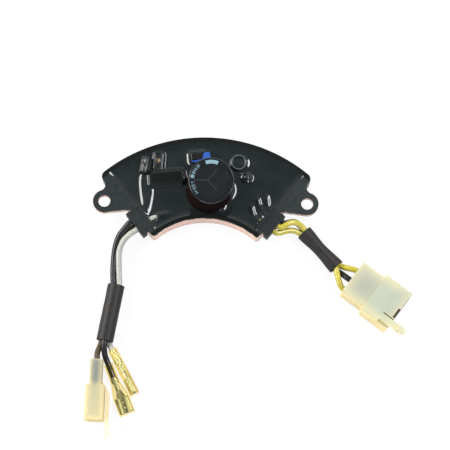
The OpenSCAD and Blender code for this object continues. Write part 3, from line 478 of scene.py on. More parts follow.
# Materials of single pieces
def tray_material():
    """Dark moulding with a painted warm reflection: salmon on its sideways walls below an uneven edge that
    runs down the sides.
    """
    f = Finish("tray_with_painted_reflection")
    x, y, z = f.axes(f.coordinates("Object"))
    # Painted reflection: walls that face sideways, below an uneven edge, are painted warm salmon for the
    # surroundings that the glossy black wall mirrors; the rest keeps the tray's own dark tone.
    edge_wander, reflection_top = 9.0, (15.0, 15.4)
    ragged = f.calc("MULTIPLY_ADD", f.cloud(330, 4.0, 0.7, (1, 1, 0.15)), edge_wander * MM, z)
    dark_share = f.between(ragged, *reflection_top, form="LINEAR")
    dark_share = f.calc("MAXIMUM", dark_share, f.step(f.facing_up(), 0.25, 0.5))
    behind = f.product(f.between(y, 3, 5), f.between(z, 1, 2.5))
    dark_share = f.calc("MAXIMUM", dark_share, behind)
    tone = f.cloud(420, 5.0, 0.6)
    painted_reflection = f.tones(tone, (0.62, 0.36, 0.25), (0.80, 0.54, 0.41))
    coat = f.tones(tone, (0.0095, 0.013, 0.013), (0.0165, 0.021, 0.021))
    rim = f.product(tray_rims(f, x, y), dark_share)
    f.set("Base Color", f.mix(rim, f.mix(dark_share, painted_reflection, coat), (0.0062, 0.0072, 0.0068)))
    f.set("Specular IOR Level", f.calc("MULTIPLY_ADD", rim, -0.24, 0.35))
    f.roughness(tone, 0.28, 0.42)
    f.grain(2600, 0.25, 0.05)
    return f.material


def tray_rims(f, x, y):
    """1 on the narrow rims along the arc, which are duller than the ears."""
    to_axis = f.calc("ADD", y, ARC_DROP * MM)
    reach = f.calc("SQRT", f.calc("MULTIPLY_ADD", x, x, f.product(to_axis, to_axis)))
    inner = f.rest(f.between(reach, CAVITY_IN, CAVITY_IN + 0.4))
    return f.calc("MAXIMUM", inner, f.between(reach, CAVITY_OUT - 0.6, CAVITY_OUT - 0.2))


def resin_material():
    """Glossy black resin, dull where dry marks an exposed top, and paled by a painted highlight on the
    small capacitor's rim.
    """
    f = Finish("potting_resin")
    dry, painted_rim_highlight = f.attribute("dry"), f.attribute("painted_rim_highlight")
    tone = f.cloud(160, 5.0, 0.6)
    wet = f.tones(tone, (0.0078, 0.0108, 0.0110), (0.0120, 0.0158, 0.0160))
    dull = f.tones(tone, (0.0055, 0.0064, 0.0054), (0.009, 0.0098, 0.0082))
    # the pale tone at the small capacitor's rim is a painted highlight
    f.set("Base Color", f.mix(painted_rim_highlight, f.mix(dry, wet, dull), (0.085, 0.105, 0.110)))
    f.set("Roughness", f.calc("MULTIPLY_ADD", dry, 0.5, 0.09))
    f.set("Specular IOR Level", f.calc("MULTIPLY_ADD", dry, -0.52, 0.5))
    f.grain(520, 0.04, 0.05)
    return f.material


def tin_material():
    f = Finish("tinned_strip")
    tone = f.cloud(900, 6.0, 0.65)
    f.set("Base Color", f.tones(tone, (0.17, 0.21, 0.20), (0.31, 0.36, 0.345), 0.25, 0.75))
    f.set("Metallic", 0.35)
    f.roughness(tone, 0.35, 0.55)
    f.grain(3000, 0.2, 0.03)
    return f.material


def brass_material():
    f = Finish("screw_brass")
    tone = f.cloud(1500)
    f.set("Base Color", f.tones(tone, (0.55, 0.38, 0.13), (0.75, 0.56, 0.24)))
    f.set("Metallic", 1.0)
    f.roughness(tone, 0.25, 0.4)
    return f.material


def clear_material():
    """Clear vinyl that is amber where the eye looks through much of it."""
    f = Finish("clear_vinyl")
    f.set("Base Color", (1.0, 0.97, 0.90))
    f.set("Transmission Weight", 1.0)
    f.set("IOR", 1.03)
    f.set("Coat Weight", 0.35)
    f.set("Coat Roughness", 0.08)
    f.roughness(f.cloud(300), 0.03, 0.10)
    f.grain(500, 0.05, 0.1)
    absorb = f.add("VolumeAbsorption", {"Color": (0.965, 0.85, 0.30), "Density": 900.0})
    f.feed(f.out.inputs["Volume"], absorb.outputs["Volume"])
    through = f.add("BsdfTransparent", {"Color": (0.97, 0.90, 0.70)})
    f.show_blend(f.add("LightPath").outputs["Is Shadow Ray"], f.bsdf, through)
    return f.material


def sleeve_print_material():
    """Shrink sleeve of the capacitor: brown-black film, a glossy fold and the print that mark gives."""
    f = Finish("capacitor_sleeve")
    tone = f.cloud(500, 5.0)
    film = f.tones(tone, (0.0080, 0.0042, 0.0040), (0.0120, 0.0064, 0.0060))
    ink = f.tones(tone, (0.13, 0.22, 0.26), (0.21, 0.32, 0.36))
    fold = f.between(f.axes(f.coordinates("Object"))["Z"], 32.4, 33.4)
    coat = f.mix(fold, film, (0.0072, 0.0092, 0.0100))
    f.set("Base Color", f.mix(f.attribute("mark"), coat, ink))
    f.set("Specular IOR Level", f.calc("MULTIPLY_ADD", fold, 0.32, 0.02))
    f.set("IOR", f.calc("MULTIPLY_ADD", fold, 0.42, 1.03))
    f.roughness(tone, 0.10, 0.17)
    f.grain(1200, 0.06, 0.04)
    return f.material


VENT_AT = (1.1, 7.0, 33.7)
VENT_TURNS = (50, 180, 310)
VENT_LEN = 8.2


def can_material():
    """Dark can top with a painted highlight along its scored vent lines."""
    f = Finish("can_top")
    tone = f.cloud(300, 5.0, 0.6)
    colour = f.tones(tone, (0.0040, 0.0054, 0.0064), (0.0068, 0.0088, 0.0100))
    for degrees in VENT_TURNS:
        along, across, _ = f.local_axes(VENT_AT, degrees)
        near = f.rest(f.between(f.calc("ABSOLUTE", across), 0.1, 0.35))
        end = f.rest(f.between(along, VENT_LEN - 1.2, VENT_LEN))
        # painted highlight along each scored vent line
        line = f.product(near, f.between(along, -0.2, 0.2), end)
        colour = f.mix(line, colour, (0.030, 0.042, 0.050))
    f.set("Base Color", colour)
    f.set("Specular IOR Level", 0.17)
    f.roughness(tone, 0.28, 0.42)
    f.grain(1800, 0.15, 0.02)
    return f.material


# Nylon housings
ARM_TONE = (1.0, 0.92, 0.64)
RECESS_SHADE_TONE = (0.13, 0.095, 0.055)
Shade = namedtuple("Shade", "start end width strength")
Recess = namedtuple("Recess", "depth top side")
Mouth = namedtuple("Mouth", "half_width half_height glow")


def painted_inside_shade(f, along, off, shade):
    """Painted shade: how strongly the wall is darkened where the hollow and the metal inside show through.
    """
    start = f.between(along, shade.start - 2, shade.start + 2)
    band = f.rest(f.between(off, 0.0, shade.width))
    end = f.rest(f.between(along, shade.end - 4, shade.end + 1))
    return f.product(start, band, end, shade.strength)


def painted_recess_shade(f, along, across, height, housing, recess):
    """1 in the recess at the hood's front, which is painted dark as shade."""
    back = housing.front - recess.depth
    deep = f.rest(f.between(height, recess.top - 1.2, recess.top - 0.3))
    fore = f.between(along, back - 0.2, back + 0.2)
    beside = f.between(across, recess.side - 0.2, recess.side + 0.2)
    within = f.rest(f.between(across, housing.hood_half - 0.5, housing.hood_half - 0.3))
    return f.product(deep, fore, beside, within)


def painted_mouth_glow(f, off, height, mouth):
    """1 within the hood's open mouth, on its inner walls, where a painted glow stands in for light through
    the nylon.
    """
    low = f.rest(f.between(f.calc("ABSOLUTE", height), mouth.half_height, mouth.half_height + 0.2))
    near = f.rest(f.between(off, mouth.half_width, mouth.half_width + 0.2))
    return f.product(low, near)


def nylon_material(name, housing, edge, middle, inside, soft, rim_glow, shades, recess=None, mouth=None):
    """Natural nylon: grey-green in the middle of its faces and warm along its edges, with painted shade
    over its hollows and recess and a painted glow in its mouth.
    """
    f = Finish(name)
    along, across, height = f.local_axes(housing.at, housing.turn)
    off = f.calc("ABSOLUTE", across)
    hood = f.between(along, housing.rear_len - 0.3, housing.rear_len + 0.3)
    widening = (housing.hood_half - housing.rear_half) * MM
    half = f.calc("MULTIPLY_ADD", hood, widening, housing.rear_half * MM)
    cloud = f.cloud(260, 5.0, 0.6)
    ends = f.calc("MINIMUM", along, f.calc("SUBTRACT", housing.front * MM, along))
    nearest = f.calc("MINIMUM", f.calc("SUBTRACT", half, off), ends)
    rim = f.rest(f.between(f.calc("MULTIPLY_ADD", cloud, 1.6 * MM, nearest), 0.2, soft))
    flank = f.rest(f.step(f.facing_up(), 0.2, 0.9))
    colour = f.mix(f.calc("MAXIMUM", f.product(rim, rim_glow), flank), middle, edge)
    arm = f.between(f.calc("SUBTRACT", off, half), 0.0, 0.6)
    colour = f.mix(arm, colour, ARM_TONE)
    # painted shade where the hollow inside shows through the nylon
    for shade in shades:
        colour = f.mix(painted_inside_shade(f, along, off, shade), colour, inside)
    # painted shade in the recess behind the hood's front
    if recess:
        colour = f.mix(painted_recess_shade(f, along, across, height, housing, recess), colour, RECESS_SHADE_TONE)
    # painted light: the mouth's inner walls glow in the edge colour
    if mouth:
        f.set("Emission Color", edge)
        f.set("Emission Strength", f.product(painted_mouth_glow(f, off, height, mouth), hood, mouth.glow))
    f.set("Base Color", colour)
    f.roughness(cloud, 0.3, 0.45)
    f.grain(1700, 0.15, 0.04)
    f.set("Subsurface Weight", 0.25)
    f.set("Subsurface Radius", (0.003, 0.0026, 0.0016))
    f.set("Subsurface Scale", 1.0)
    f.show_blend(0.4, f.bsdf, f.add("BsdfTranslucent", {"Color": colour}))
    return f.material


tray_mat = tray_material()
resin_mat = resin_material()
tin_mat = tin_material()
brass_mat = brass_material()
clear_mat = clear_material()
print_mat = sleeve_print_material()
can_mat = can_material()
one_nylon_mat = nylon_material(
    "one_way_nylon",
    ONE_WAY,
    edge=(0.80, 0.70, 0.41),
    middle=(0.55, 0.525, 0.355),
    inside=(0.20, 0.23, 0.24),
    soft=4.5,
    rim_glow=0.8,
    shades=[Shade(0.0, 14.5, 4.4, 0.75), Shade(13.0, 24.0, 2.6, 0.10)],
    mouth=Mouth(half_width=4.05, half_height=5.3, glow=0.6),
)
six_nylon_mat = nylon_material(
    "six_way_nylon",
    SIX_WAY,
    edge=(0.98, 0.86, 0.48),
    middle=(0.51, 0.56, 0.455),
    inside=(0.38, 0.34, 0.26),
    soft=8.0,
    rim_glow=0.33,
    shades=[Shade(0.0, 14.0, 13.0, 0.30)],
    recess=Recess(depth=6.4, top=9.7, side=-7.0),
)


# Wires: routes as in the part's source
def in_loom(loom, degrees):
    """Points of a wire that lies at an angle in a loom's sleeve and turns slowly along it."""
    points = []
    for t in (-0.5, -0.25, 0.0, 0.25, 0.5):
        a = math.radians(degrees) + loom.twist * t
        x, y = turned(loom.at, loom.heading, loom.length * t, LAY_R * math.cos(a))
        points.append((x, y, LOOM_D / 2 + LAY_R * math.sin(a)))
    return points


def wire_end(at, degrees):
    """A wire's last two points, 1 mm apart, so that it ends straight."""
    return [(*turned(at, math.radians(degrees), -1, 0), at[2]), at]


def housing_wire_end(housing, across=0.0, up=0.0):
    """Where a wire ends in a housing."""
    x, y = turned(housing.at, math.radians(housing.turn), WIRE_DEPTH, across)
    return wire_end((x, y, housing.at[2] + up), housing.turn)


def six_wire_end(column):
    return housing_wire_end(SIX_WAY, column * SIX_PITCH, SIX_LOWER)


def exits(point, bore):
    return [point(bore, LEAD_FACE), point(bore, LEAD_FACE + 1)]


ROUTES = {
    "left_black_wire": exits(left_point, LEFT_BORES[0])
    + [(-43.6, -14.2, 9), (-46.8, -18.4, 7.4), (-48.7, -24.4, 6.2), (-49.4, -31, 5.4), (-49.6, -38, 5.2)]
    + in_loom(LEFT_LOOM, 120)
    + [(-53.25, -78, 6), (-53.05, -81, 4.9), (-52.5, -84, 3.2), (-51.3, -86.8, 2.5), (-49.4, -91.4, 2.5)]
    + wire_end(FLAT_SPADE, FLAT_TURN),
    "left_white_wire": exits(left_point, LEFT_BORES[1])
    + [(-40.6, -17.6, 9.6), (-44.4, -21.6, 8.8), (-46.4, -27.2, 7.6), (-46.5, -34, 6.4), (-46.2, -40, 5.5)]
    + in_loom(LEFT_LOOM, 0)
    + [(-50.4, -77.6, 3.7), (-48.9, -80, 4.2), (-47.4, -82.7, 4.3)]
    + wire_end(EDGE_SPADE, EDGE_TURN),
    "left_brown_wire": exits(left_point, LEFT_BORES[2])
    + [(-42, -15.8, 5.6), (-45, -19.4, 4.2), (-46.7, -25, 2.8), (-47, -32, 2), (-47.3, -39, 2.1)]
    + in_loom(LEFT_LOOM, -120)
    + [(-55.55, -78.2, 3.5), (-56.6, -81.4, 4.8), (-56.75, -84, 6)]
    + housing_wire_end(ONE_WAY),
    "right_black_wire": exits(right_point, RIGHT_BORES[0])
    + [(45, -9.4, 6.4), (48.2, -8.6, 5.4), (51.4, -10.4, 3.8)]
    + in_loom(RIGHT_LOOM, -90)
    + [(74.2, -36.8, 3.8), (77, -39.1, 5)]
    + six_wire_end(0),
    "right_upper_yellow_wire": exits(right_point, RIGHT_BORES[1])
    + [(42.6, -12.3, 10), (45.4, -10.4, 9.8), (48.6, -9.8, 8.8), (51.7, -11, 7.2)]
    + in_loom(RIGHT_LOOM, 30)
    + [(76.5, -33.6, 4.6), (80, -34.4, 5.2), (83.1, -35.7, 5.6)]
    + six_wire_end(1),
    "right_lower_yellow_wire": exits(right_point, RIGHT_BORES[2])
    + [(40, -15.4, 7.7), (43.6, -14.2, 6.8), (47.2, -13.6, 5.8), (50.2, -14.2, 4.8)]
    + in_loom(RIGHT_LOOM, 150)
    + [(71.5, -37, 6.4), (72.4, -40.4, 6.1), (73.6, -43.8, 5.8), (75.4, -46, 5.65)]
    + six_wire_end(-1),
}
WIRE_POINTS = 36


def wire_curve(name):
    """A wire and its length; its name ends in the name of its slot."""
    slot = next(s for s in WIRE_MATS if name.endswith(s))
    points, length = smooth_path(ROUTES[name], WIRE_POINTS)
    data = bpy.data.curves.new(name + "_cord", "CURVE")
    data.dimensions = "3D"
    data.bevel_depth = WIRE_R * MM
    data.bevel_resolution = 6
    data.use_fill_caps = True
    data.resolution_u = 4
    spline = data.splines.new("BEZIER")
    spline.bezier_points.add(len(points) - 1)
    for point, where in zip(spline.bezier_points, points):
        point.co = [c * MM for c in where]
        point.handle_left_type = point.handle_right_type = "AUTO"
    obj = finish_piece(add_object(name + "_cord", data), WIRE_MATS[slot], name, slot=slot)
    return obj, length * MM


wires = {name: wire_curve(name) for name in ROUTES}


# Wire tails in the resin
TAIL_Z = UPPER_BORE_Z - 0.4
TAIL_LOW = BOARD_TOP + WIRE_R
LEFT_ENDS = [
    [(-34.2, 0, TAIL_Z), (-34.6, 6, TAIL_Z), (-34.6, 10.4, TAIL_LOW)],
    [(-26.4, -7.6, TAIL_Z), (-22.6, -6.6, TAIL_Z), (-18.8, -6.2, TAIL_LOW)],
    [(-30.2, -2.8, TAIL_Z - 1), (-30.9, 1.4, TAIL_Z), (-31, 5, TAIL_Z), (-31, 8.6, TAIL_LOW)],
]
RIGHT_ENDS = [
    [(33.6, -1, TAIL_Z - 1), (33.2, 2, TAIL_Z - 0.8), (32.6, 6, TAIL_LOW)],
    [(29.6, -1, TAIL_Z), (28.4, 1, TAIL_Z), (26.4, 4.4, TAIL_LOW)],
    [(26.8, -6, TAIL_Z), (25, -4, TAIL_Z), (22.4, -1.2, TAIL_LOW)],
]
TAIL_POINTS, TAIL_SIDES = 30, 20


def tail_runs(point, bores, ends):
    return [[point(b, LEAD_FACE), point(b, -LEAD_IN - 1)] + e for b, e in zip(bores, ends)]


def wire_tails(name, runs, colours):
    verts, faces, tints = [], [], []
    for k, run in enumerate(runs):
        path, _ = smooth_path(run, TAIL_POINTS)
        v, f = sweep(path, WIRE_R - 0.02, TAIL_SIDES)
        faces += [tuple(i + len(verts) for i in face) for face in f]
        verts += v
        tints += [k] * len(f)
    obj = mesh_object(name + "_tubes", verts, faces, sharp=50)
    obj.data.polygons.foreach_set("material_index", tints)
    finish_piece(obj, [WIRE_MATS[c + "_wire"] for c in colours], name)


left_tails = tail_runs(left_point, LEFT_BORES, LEFT_ENDS)
right_tails = tail_runs(right_point, RIGHT_BORES, RIGHT_ENDS)
# the lower yellow wire rises behind its block
right_tails[2][1] = right_point((RIGHT_BORES[2][0], UPPER_BORE_Z - 0.5), -LEAD_IN - 0.6)
wire_tails("left_wire_tails", left_tails, ["black", "white", "brown"])
wire_tails("right_wire_tails", right_tails, ["black", "yellow", "yellow"])


# Plane functions for the resin's relief
NOISE_GRID, NOISE_SHIFT = 96, 40


def ease(t):
    return t * t * (3 - 2 * t)


def smooth_step(d, low, high):
    return ease(np.clip((d - low) / (high - low), 0, 1))


def smooth_max(a, b, blend):
    h = np.clip(0.5 + 0.5 * (a - b) / blend, 0, 1)
    return b + (a - b) * h + blend * h * (1 - h)


def value_noise(x, y, cell, seed):
    """Smooth noise between -1 and 1."""
    grid = np.random.default_rng(seed).uniform(-1, 1, (NOISE_GRID, NOISE_GRID))
    u, v = x / cell + NOISE_SHIFT, y / cell + NOISE_SHIFT
    i, j = np.floor(u).astype(int), np.floor(v).astype(int)
    a, b = ease(u - i), ease(v - j)

    def corner(p, q):
        return grid[p % NOISE_GRID, q % NOISE_GRID]

    near = corner(i, j) * (1 - a) + corner(i + 1, j) * a
    far = corner(i, j + 1) * (1 - a) + corner(i + 1, j + 1) * a
    return near * (1 - b) + far * b


def local(x, y, at, degrees):
    """Places in the frame of a part that is turned in plan."""
    c, s = math.cos(math.radians(degrees)), math.sin(math.radians(degrees))
    return (x - at[0]) * c + (y - at[1]) * s, -(x - at[0]) * s + (y - at[1]) * c


def box_distance(u, v, half_u, half_v, corner):
    """Signed distance to a rectangle with rounded corners."""
    p, q = np.abs(u) - (half_u - corner), np.abs(v) - (half_v - corner)
    return np.hypot(np.maximum(p, 0), np.maximum(q, 0)) + np.minimum(np.maximum(p, q), 0) - corner


def disc_distance(x, y, at, radius=0.0):
    return np.hypot(x - at[0], y - at[1]) - radius


def run_distance(x, y, run):
    """Distance in plan to a polyline, and the polyline's height there."""
    best = np.full(x.shape, 1e9)
    height = np.zeros(x.shape)
    for p, q in zip(run[:-1], run[1:]):
        dx, dy = q[0] - p[0], q[1] - p[1]
        length = math.hypot(dx, dy)
        t = np.clip(((x - p[0]) * dx + (y - p[1]) * dy) / (length * length), 0, 1)
        d = np.hypot(x - p[0] - t * dx, y - p[1] - t * dy)
        height = np.where(d < best, p[2] + t * (q[2] - p[2]), height)
        best = np.minimum(d, best)
    return best, height


def mound(d, top, edge, slope):
    """Height of a flat-topped mound: d is the signed distance to its outline."""
    inner = np.clip(d + edge, 0, edge)
    return top - (edge - np.sqrt(np.maximum(edge**2 - inner**2, 0))) - slope * np.maximum(d, 0)


# Resin relief: each part that the resin covers or surrounds shapes the height z over x and y, in mm.
# Ridges over the tails: points on each crest with their heights above the resin, and its spread.
RIDGE_CRESTS = [
    [(-33, -4.6, 0.35), (-33.6, -0.5, 0.65), (-34.6, 5.7, 0.75), (-35.1, 12.1, 0.75), (-34.4, 18, 0.6)],
    [(-32, -4, 0.42), (-32, 2, 0.8), (-32.3, 8, 0.85), (-32.5, 16, 0.8)],
    [(-32, -7.2, 0.26), (-30.3, -1.2, 0.42), (-29.5, 5, 0.5), (-29.9, 9.6, 0.5), (-30.6, 14.5, 0.4)],
    [(-27.2, -8.6, 0.9), (-24.5, -7.4, 1.15), (-21.5, -6.8, 1), (-18.6, -6.4, 0.2)],
    [(28.6, -10.2, 0.7), (26.8, -8, 0.8), (25.6, -5.2, 0.8), (25, -2.4, 0.78), (24.9, -0.2, 0.3)],
    [(31.7, -6.4, 0.98), (30.4, -3.6, 0.9), (29, -0.6, 0.8), (28.3, 2.2, 0.75), (28.2, 4.4, 0.2)],
    [(34.2, -3.4, 0.68), (33.6, -0.8, 0.74), (33.3, 2, 0.74), (33.2, 4.6, 0.5), (33.3, 6, 0.1)],
]
RIDGE_SPREADS = (1.05, 1.55, 1.10, 1.40, 1.20, 1.15, 1.10)
CREST_POINTS = 90
# Where the white and the yellow insulation shows through: a place and a reach
OPENINGS = [((-29.9, -10.0), 2.4), ((-28.5, -9.1), 2.0), ((30.1, -9.4), 0.9)]
SUNK_Z = 8.0
BRIDGE_KNOB = (-12.0, 13.4)
BRIDGE_PINS = [(-15.3, 18.2), (-14.2, 12.6)]
DRIVER_HUMP, DRIVER_PIN = (22.2, 14.1), (19.4, 16.6)
SMALL_RIM, SMALL_TOP = 3.85, 12.95
SCREW_U = -3.5


def wet_walls(x, y):
    """The level resin, drawn up at the tray's walls and a little uneven."""
    reach = np.hypot(x, y + ARC_DROP)
    angle = np.arctan2(x, y + ARC_DROP)
    d_end = reach * np.sin(END_ANGLE - np.abs(angle))
    walls = [(1.35, 3.4, CAVITY_OUT - reach), (1.2, 1.8, reach - CAVITY_IN), (1.4, 2.4, d_end)]
    wet = np.sqrt(sum((rise * np.exp(-d / width)) ** 2 for rise, width, d in walls))
    return RESIN_Z + wet + 0.05 * value_noise(x, y, 9.0, 3) + 0.006 * value_noise(x, y, 3.2, 5)


def wire_humps(x, y, z):
    for spread, crest in zip(RIDGE_SPREADS, RIDGE_CRESTS):
        path, _ = smooth_path(crest, CREST_POINTS)
        d, height = run_distance(x, y, path)
        z = z + height * np.exp(-0.5 * (d / spread) ** 2)
    for at, reach in OPENINGS:
        lip, slope = RESIN_Z + 0.15, 1.3
        z = np.minimum(z, lip + slope * np.maximum(disc_distance(x, y, at, reach), 0))
    return z


def bridge_hump(x, y, z):
    """The bridge rectifier under its skin, with a lead's knob at the right end and two pins."""
    u, v = local(x, y, BRIDGE_AT, BRIDGE_TURN)
    d = box_distance(u, v, 9.0, 3.1, corner=1.0)
    z = smooth_max(z, RESIN_Z + 1.95 * (1 - smooth_step(d, -0.3, 3.0)), blend=0.6)
    knob = mound(disc_distance(x, y, BRIDGE_KNOB, 1.5), top=12.1, edge=1.3, slope=1.2)
    z = smooth_max(z, knob, blend=1.0)
    for at in BRIDGE_PINS:
        pin = mound(disc_distance(x, y, at, 0.5), top=12.6, edge=0.5, slope=1.6)
        z = smooth_max(z, pin, blend=0.5)
    return z


def driver_hump(x, y, z):
    z = z + 2.0 * np.exp(-((disc_distance(x, y, DRIVER_HUMP) / 2.5) ** 2.4))
    pin = mound(disc_distance(x, y, DRIVER_PIN, 0.7), top=11.5, edge=0.7, slope=1.4)
    return smooth_max(z, pin, blend=0.8)


def small_capacitor_ring(x, y, z):
    """A coated ring with a dished middle and a foot that is fuller at the right."""
    ring = disc_distance(x, y, SMALL_AT)
    rightward = np.clip((x - SMALL_AT[0]) / np.maximum(ring, 1e-6), 0, 1)
    foot = RESIN_Z + (0.3 + 0.38 * rightward**2) * np.exp(-((np.maximum(ring - 4.6, 0) / 1.7) ** 2))
    rim = SMALL_TOP - 0.6 * ((ring - SMALL_RIM) / 0.55) ** 2
    inside = smooth_max(rim, SMALL_TOP - 0.75, blend=0.15)
    outside = smooth_max(rim, foot, blend=0.25)
    return smooth_max(z, np.where(ring < SMALL_RIM, inside, outside), blend=0.2)


def film_capacitor_foot(x, y, z):
    u, v = local(x, y, FILM_AT, FILM_TURN)
    d = box_distance(u, v, FILM_HALF[0], FILM_HALF[1], corner=1.6)
    z = smooth_max(z, RESIN_Z + 0.5 * np.exp(-np.maximum(d, 0) / 1.1), blend=0.3)
    return np.where(d < -0.6, SUNK_Z, z)


def dropper_slot(x, y, z):
    """A mound with a slot, and a dip in the slot where the resistor shows."""
    u, v = local(x, y, DROPPER_AT, DROPPER_TURN)
    wall = mound(box_distance(u, v, 3.0, 5.6, corner=1.6), top=12.3, edge=0.9, slope=1.1)
    z = smooth_max(z, wall, blend=0.8)
    slot = box_distance(u, v, 1.75, 4.5, corner=1.2)
    floor_z = 11.62 - 1.3 * np.exp(-((u + 0.1) ** 2 / 0.8 + (v - 0.8) ** 2 / 1.8) ** 2)
    return np.minimum(z, np.where(slot < 0, floor_z, floor_z + 4.0 * slot))


def trimmer_cover(x, y, z):
    """Resin over the trimmer's upper left; its lower strip and right end stay blue and exposed."""
    u, v = local(x, y, TRIMMER_AT, TRIMMER_TURN)
    half_u, half_v = TRIMMER_HALF
    lift = 2.6 - 2.2 * smooth_step(u, 1.5, 4.5)
    beside = np.maximum(box_distance(u, v, half_u, half_v, corner=0.9), 0)
    z = smooth_max(z, RESIN_Z + lift * np.exp(-beside / 1.9), blend=0.4)
    cover = np.minimum(np.minimum(v + 0.9, 1.9 - u + 0.5 * v), 3.4 - np.abs(v - 1.6))
    cover = cover + 0.25 * value_noise(x, y, 1.7, 11)
    film = 14.05 + 0.15 * np.clip(cover / 0.8, -1, 1)
    over_screw = 14.95 - 0.25 * np.maximum(disc_distance(u, v, (SCREW_U, 0), 1.4), 0)
    film = smooth_max(film, over_screw, blend=0.2)
    on_top = box_distance(u, v, half_u, half_v, corner=0.4) < -0.05
    z = np.where(on_top, np.where(cover > -0.6, film, 12.8), z)
    drape = np.maximum(-u - half_u, v - half_v)
    falls = 14.35 - 2.9 * np.maximum(drape, 0)
    draped = ~on_top & (drape > -0.1) & (cover > -1.6)
    return np.where(draped, smooth_max(z, falls, blend=0.8), z)


def capacitor_foot(x, y, z):
    """The resin climbs the main capacitor on its leaning side and at the lower right."""
    axis_x = CAP_AT[0] + (RESIN_Z - BOARD_TOP - CAP_STAND) * math.tan(CAP_LEAN)
    dx, dy = x - axis_x, y - CAP_AT[1]
    ring = np.hypot(dx, dy) - CAP_R
    leaning = np.clip(dx / np.maximum(np.hypot(dx, dy), 1e-6), 0, 1)
    lower_right, spread = -1.0, 0.22
    climb = 0.25 + 1.7 * leaning**8
    climb = climb + 1.2 * np.exp(-(((np.arctan2(dy, dx) - lower_right) / spread) ** 2))
    z = smooth_max(z, RESIN_Z + climb * np.exp(-np.maximum(ring, 0) / 1.6), blend=0.2)
    return np.where(ring < -0.25, SUNK_Z, z)


def block_slots(x, y, z):
    for side in (1, -1):
        u, v = local(side * x, y, ARC_CENTRE, END_DEGREES)
        d = box_distance(u - LEAD_IN / 2, v - LEAD_MID, LEAD_IN / 2, LEAD_LEN / 2, corner=0.05)
        z = np.where(d > -0.12, z + 0.35 * np.exp(-np.maximum(d, 0) / 0.6), BOARD_TOP + 0.2)
    return z


RELIEF = [wire_humps, bridge_hump, driver_hump, small_capacitor_ring, film_capacitor_foot]
RELIEF += [dropper_slot, trimmer_cover, capacitor_foot, block_slots]
RESIN_COLUMNS, RESIN_ROWS = 561, 221
RESIN_FLOOR = 2.0


def dry_share(x, y):
    """How dull the resin is: over the bridge rectifier and on the trimmer's lid."""
    u, v = local(x, y, BRIDGE_AT, BRIDGE_TURN)
    bridge = 0.9 * (1 - smooth_step(box_distance(u, v, 8.9, 3.0, corner=1.4), -1.2, 2.2))
    u, v = local(x, y, TRIMMER_AT, TRIMMER_TURN)
    lid = 0.85 * (1 - smooth_step(box_distance(u, v, 5.0, 2.4, corner=0.4), -0.6, 0.0))
    return np.maximum(bridge, lid)


def painted_rim_highlight_share(x, y):
    """Painted highlight: how pale the resin is painted along the small capacitor's rim, where its crest
    catches the light.
    """
    return np.clip(1 - np.abs(disc_distance(x, y, SMALL_AT, SMALL_RIM)) / 0.45, 0, 1)


def build_resin():
    columns, rows = RESIN_COLUMNS, RESIN_ROWS
    angles = np.linspace(-END_ANGLE, END_ANGLE, columns)
    reaches = np.linspace(CAVITY_IN, CAVITY_OUT, rows)
    aa, rr = np.meshgrid(angles, reaches, indexing="ij")
    x, y = rr * np.sin(aa), rr * np.cos(aa) - ARC_DROP
    z = wet_walls(x, y)
    for shape in RELIEF:
        z = shape(x, y, z)
    top = np.stack([x, y, z], -1).reshape(-1, 3)
    rim = (
        [i * rows for i in range(columns)]
        + [(columns - 1) * rows + j for j in range(1, rows)]
        + [i * rows + rows - 1 for i in range(columns - 2, -1, -1)]
        + list(range(rows - 2, 0, -1))
    )
    bottom = top[rim].copy()
    bottom[:, 2] = RESIN_FLOOR
    faces = []
    for i in range(columns - 1):
        for p in range(i * rows, i * rows + rows - 1):
            faces.append((p, p + 1, p + rows + 1, p + rows))
    count, n = len(top), len(rim)
    for k in range(n):
        m = (k + 1) % n
        faces.append((rim[k], rim[m], count + m, count + k))
    faces.append(tuple(range(count, count + n)))
    obj = mesh_object("resin_relief", np.vstack([top, bottom]), faces)
    for name, share in (("dry", dry_share), ("painted_rim_highlight", painted_rim_highlight_share)):
        set_attribute(obj, name, np.r_[share(top[:, 0], top[:, 1]), np.zeros(n)])
    bm = bmesh.new()
    bm.from_mesh(obj.data)
    bmesh.ops.recalc_face_normals(bm, faces=bm.faces)
    bm.to_mesh(obj.data)
    bm.free()
    obj.data.set_sharp_from_angle(angle=math.radians(75))
    finish_piece(obj, resin_mat, "potting_compound", slot="resin")


build_resin()


# Main capacitor's sleeve. Its print is a stripe at the back, and a dot and generic dashes at the left.
FOLD_WIDTH = 3.6
SLEEVE_CORNER, SLEEVE_WALL, SLEEVE_LIP = 1.0, 0.4, 2.8
SLEEVE_SEGMENTS = 480
STRIPE_AT, STRIPE_HALF = 90, 19
DOT_AT, DOT_R = Vector((-10.2, 1.7)), 1.0
# Each dash has its place and half width in degrees, then its start and end inward from the rim.
DASHES = [(132, 1.6, 1.4, 3.0), (137, 1.5, 1.3, 3.1), (145, 2.4, 1.5, 3.0), (152, 1.8, 1.3, 2.9)]
DASHES += [(159, 2.4, 1.4, 3.1), (189, 3.0, 1.7, 2.6), (198, 1.6, 1.3, 3.0), (204, 1.4, 1.4, 3.2)]
DASHES += [(209, 1.5, 1.3, 3.0), (217, 2.8, 1.6, 2.4), (224, 1.4, 1.2, 2.8)]


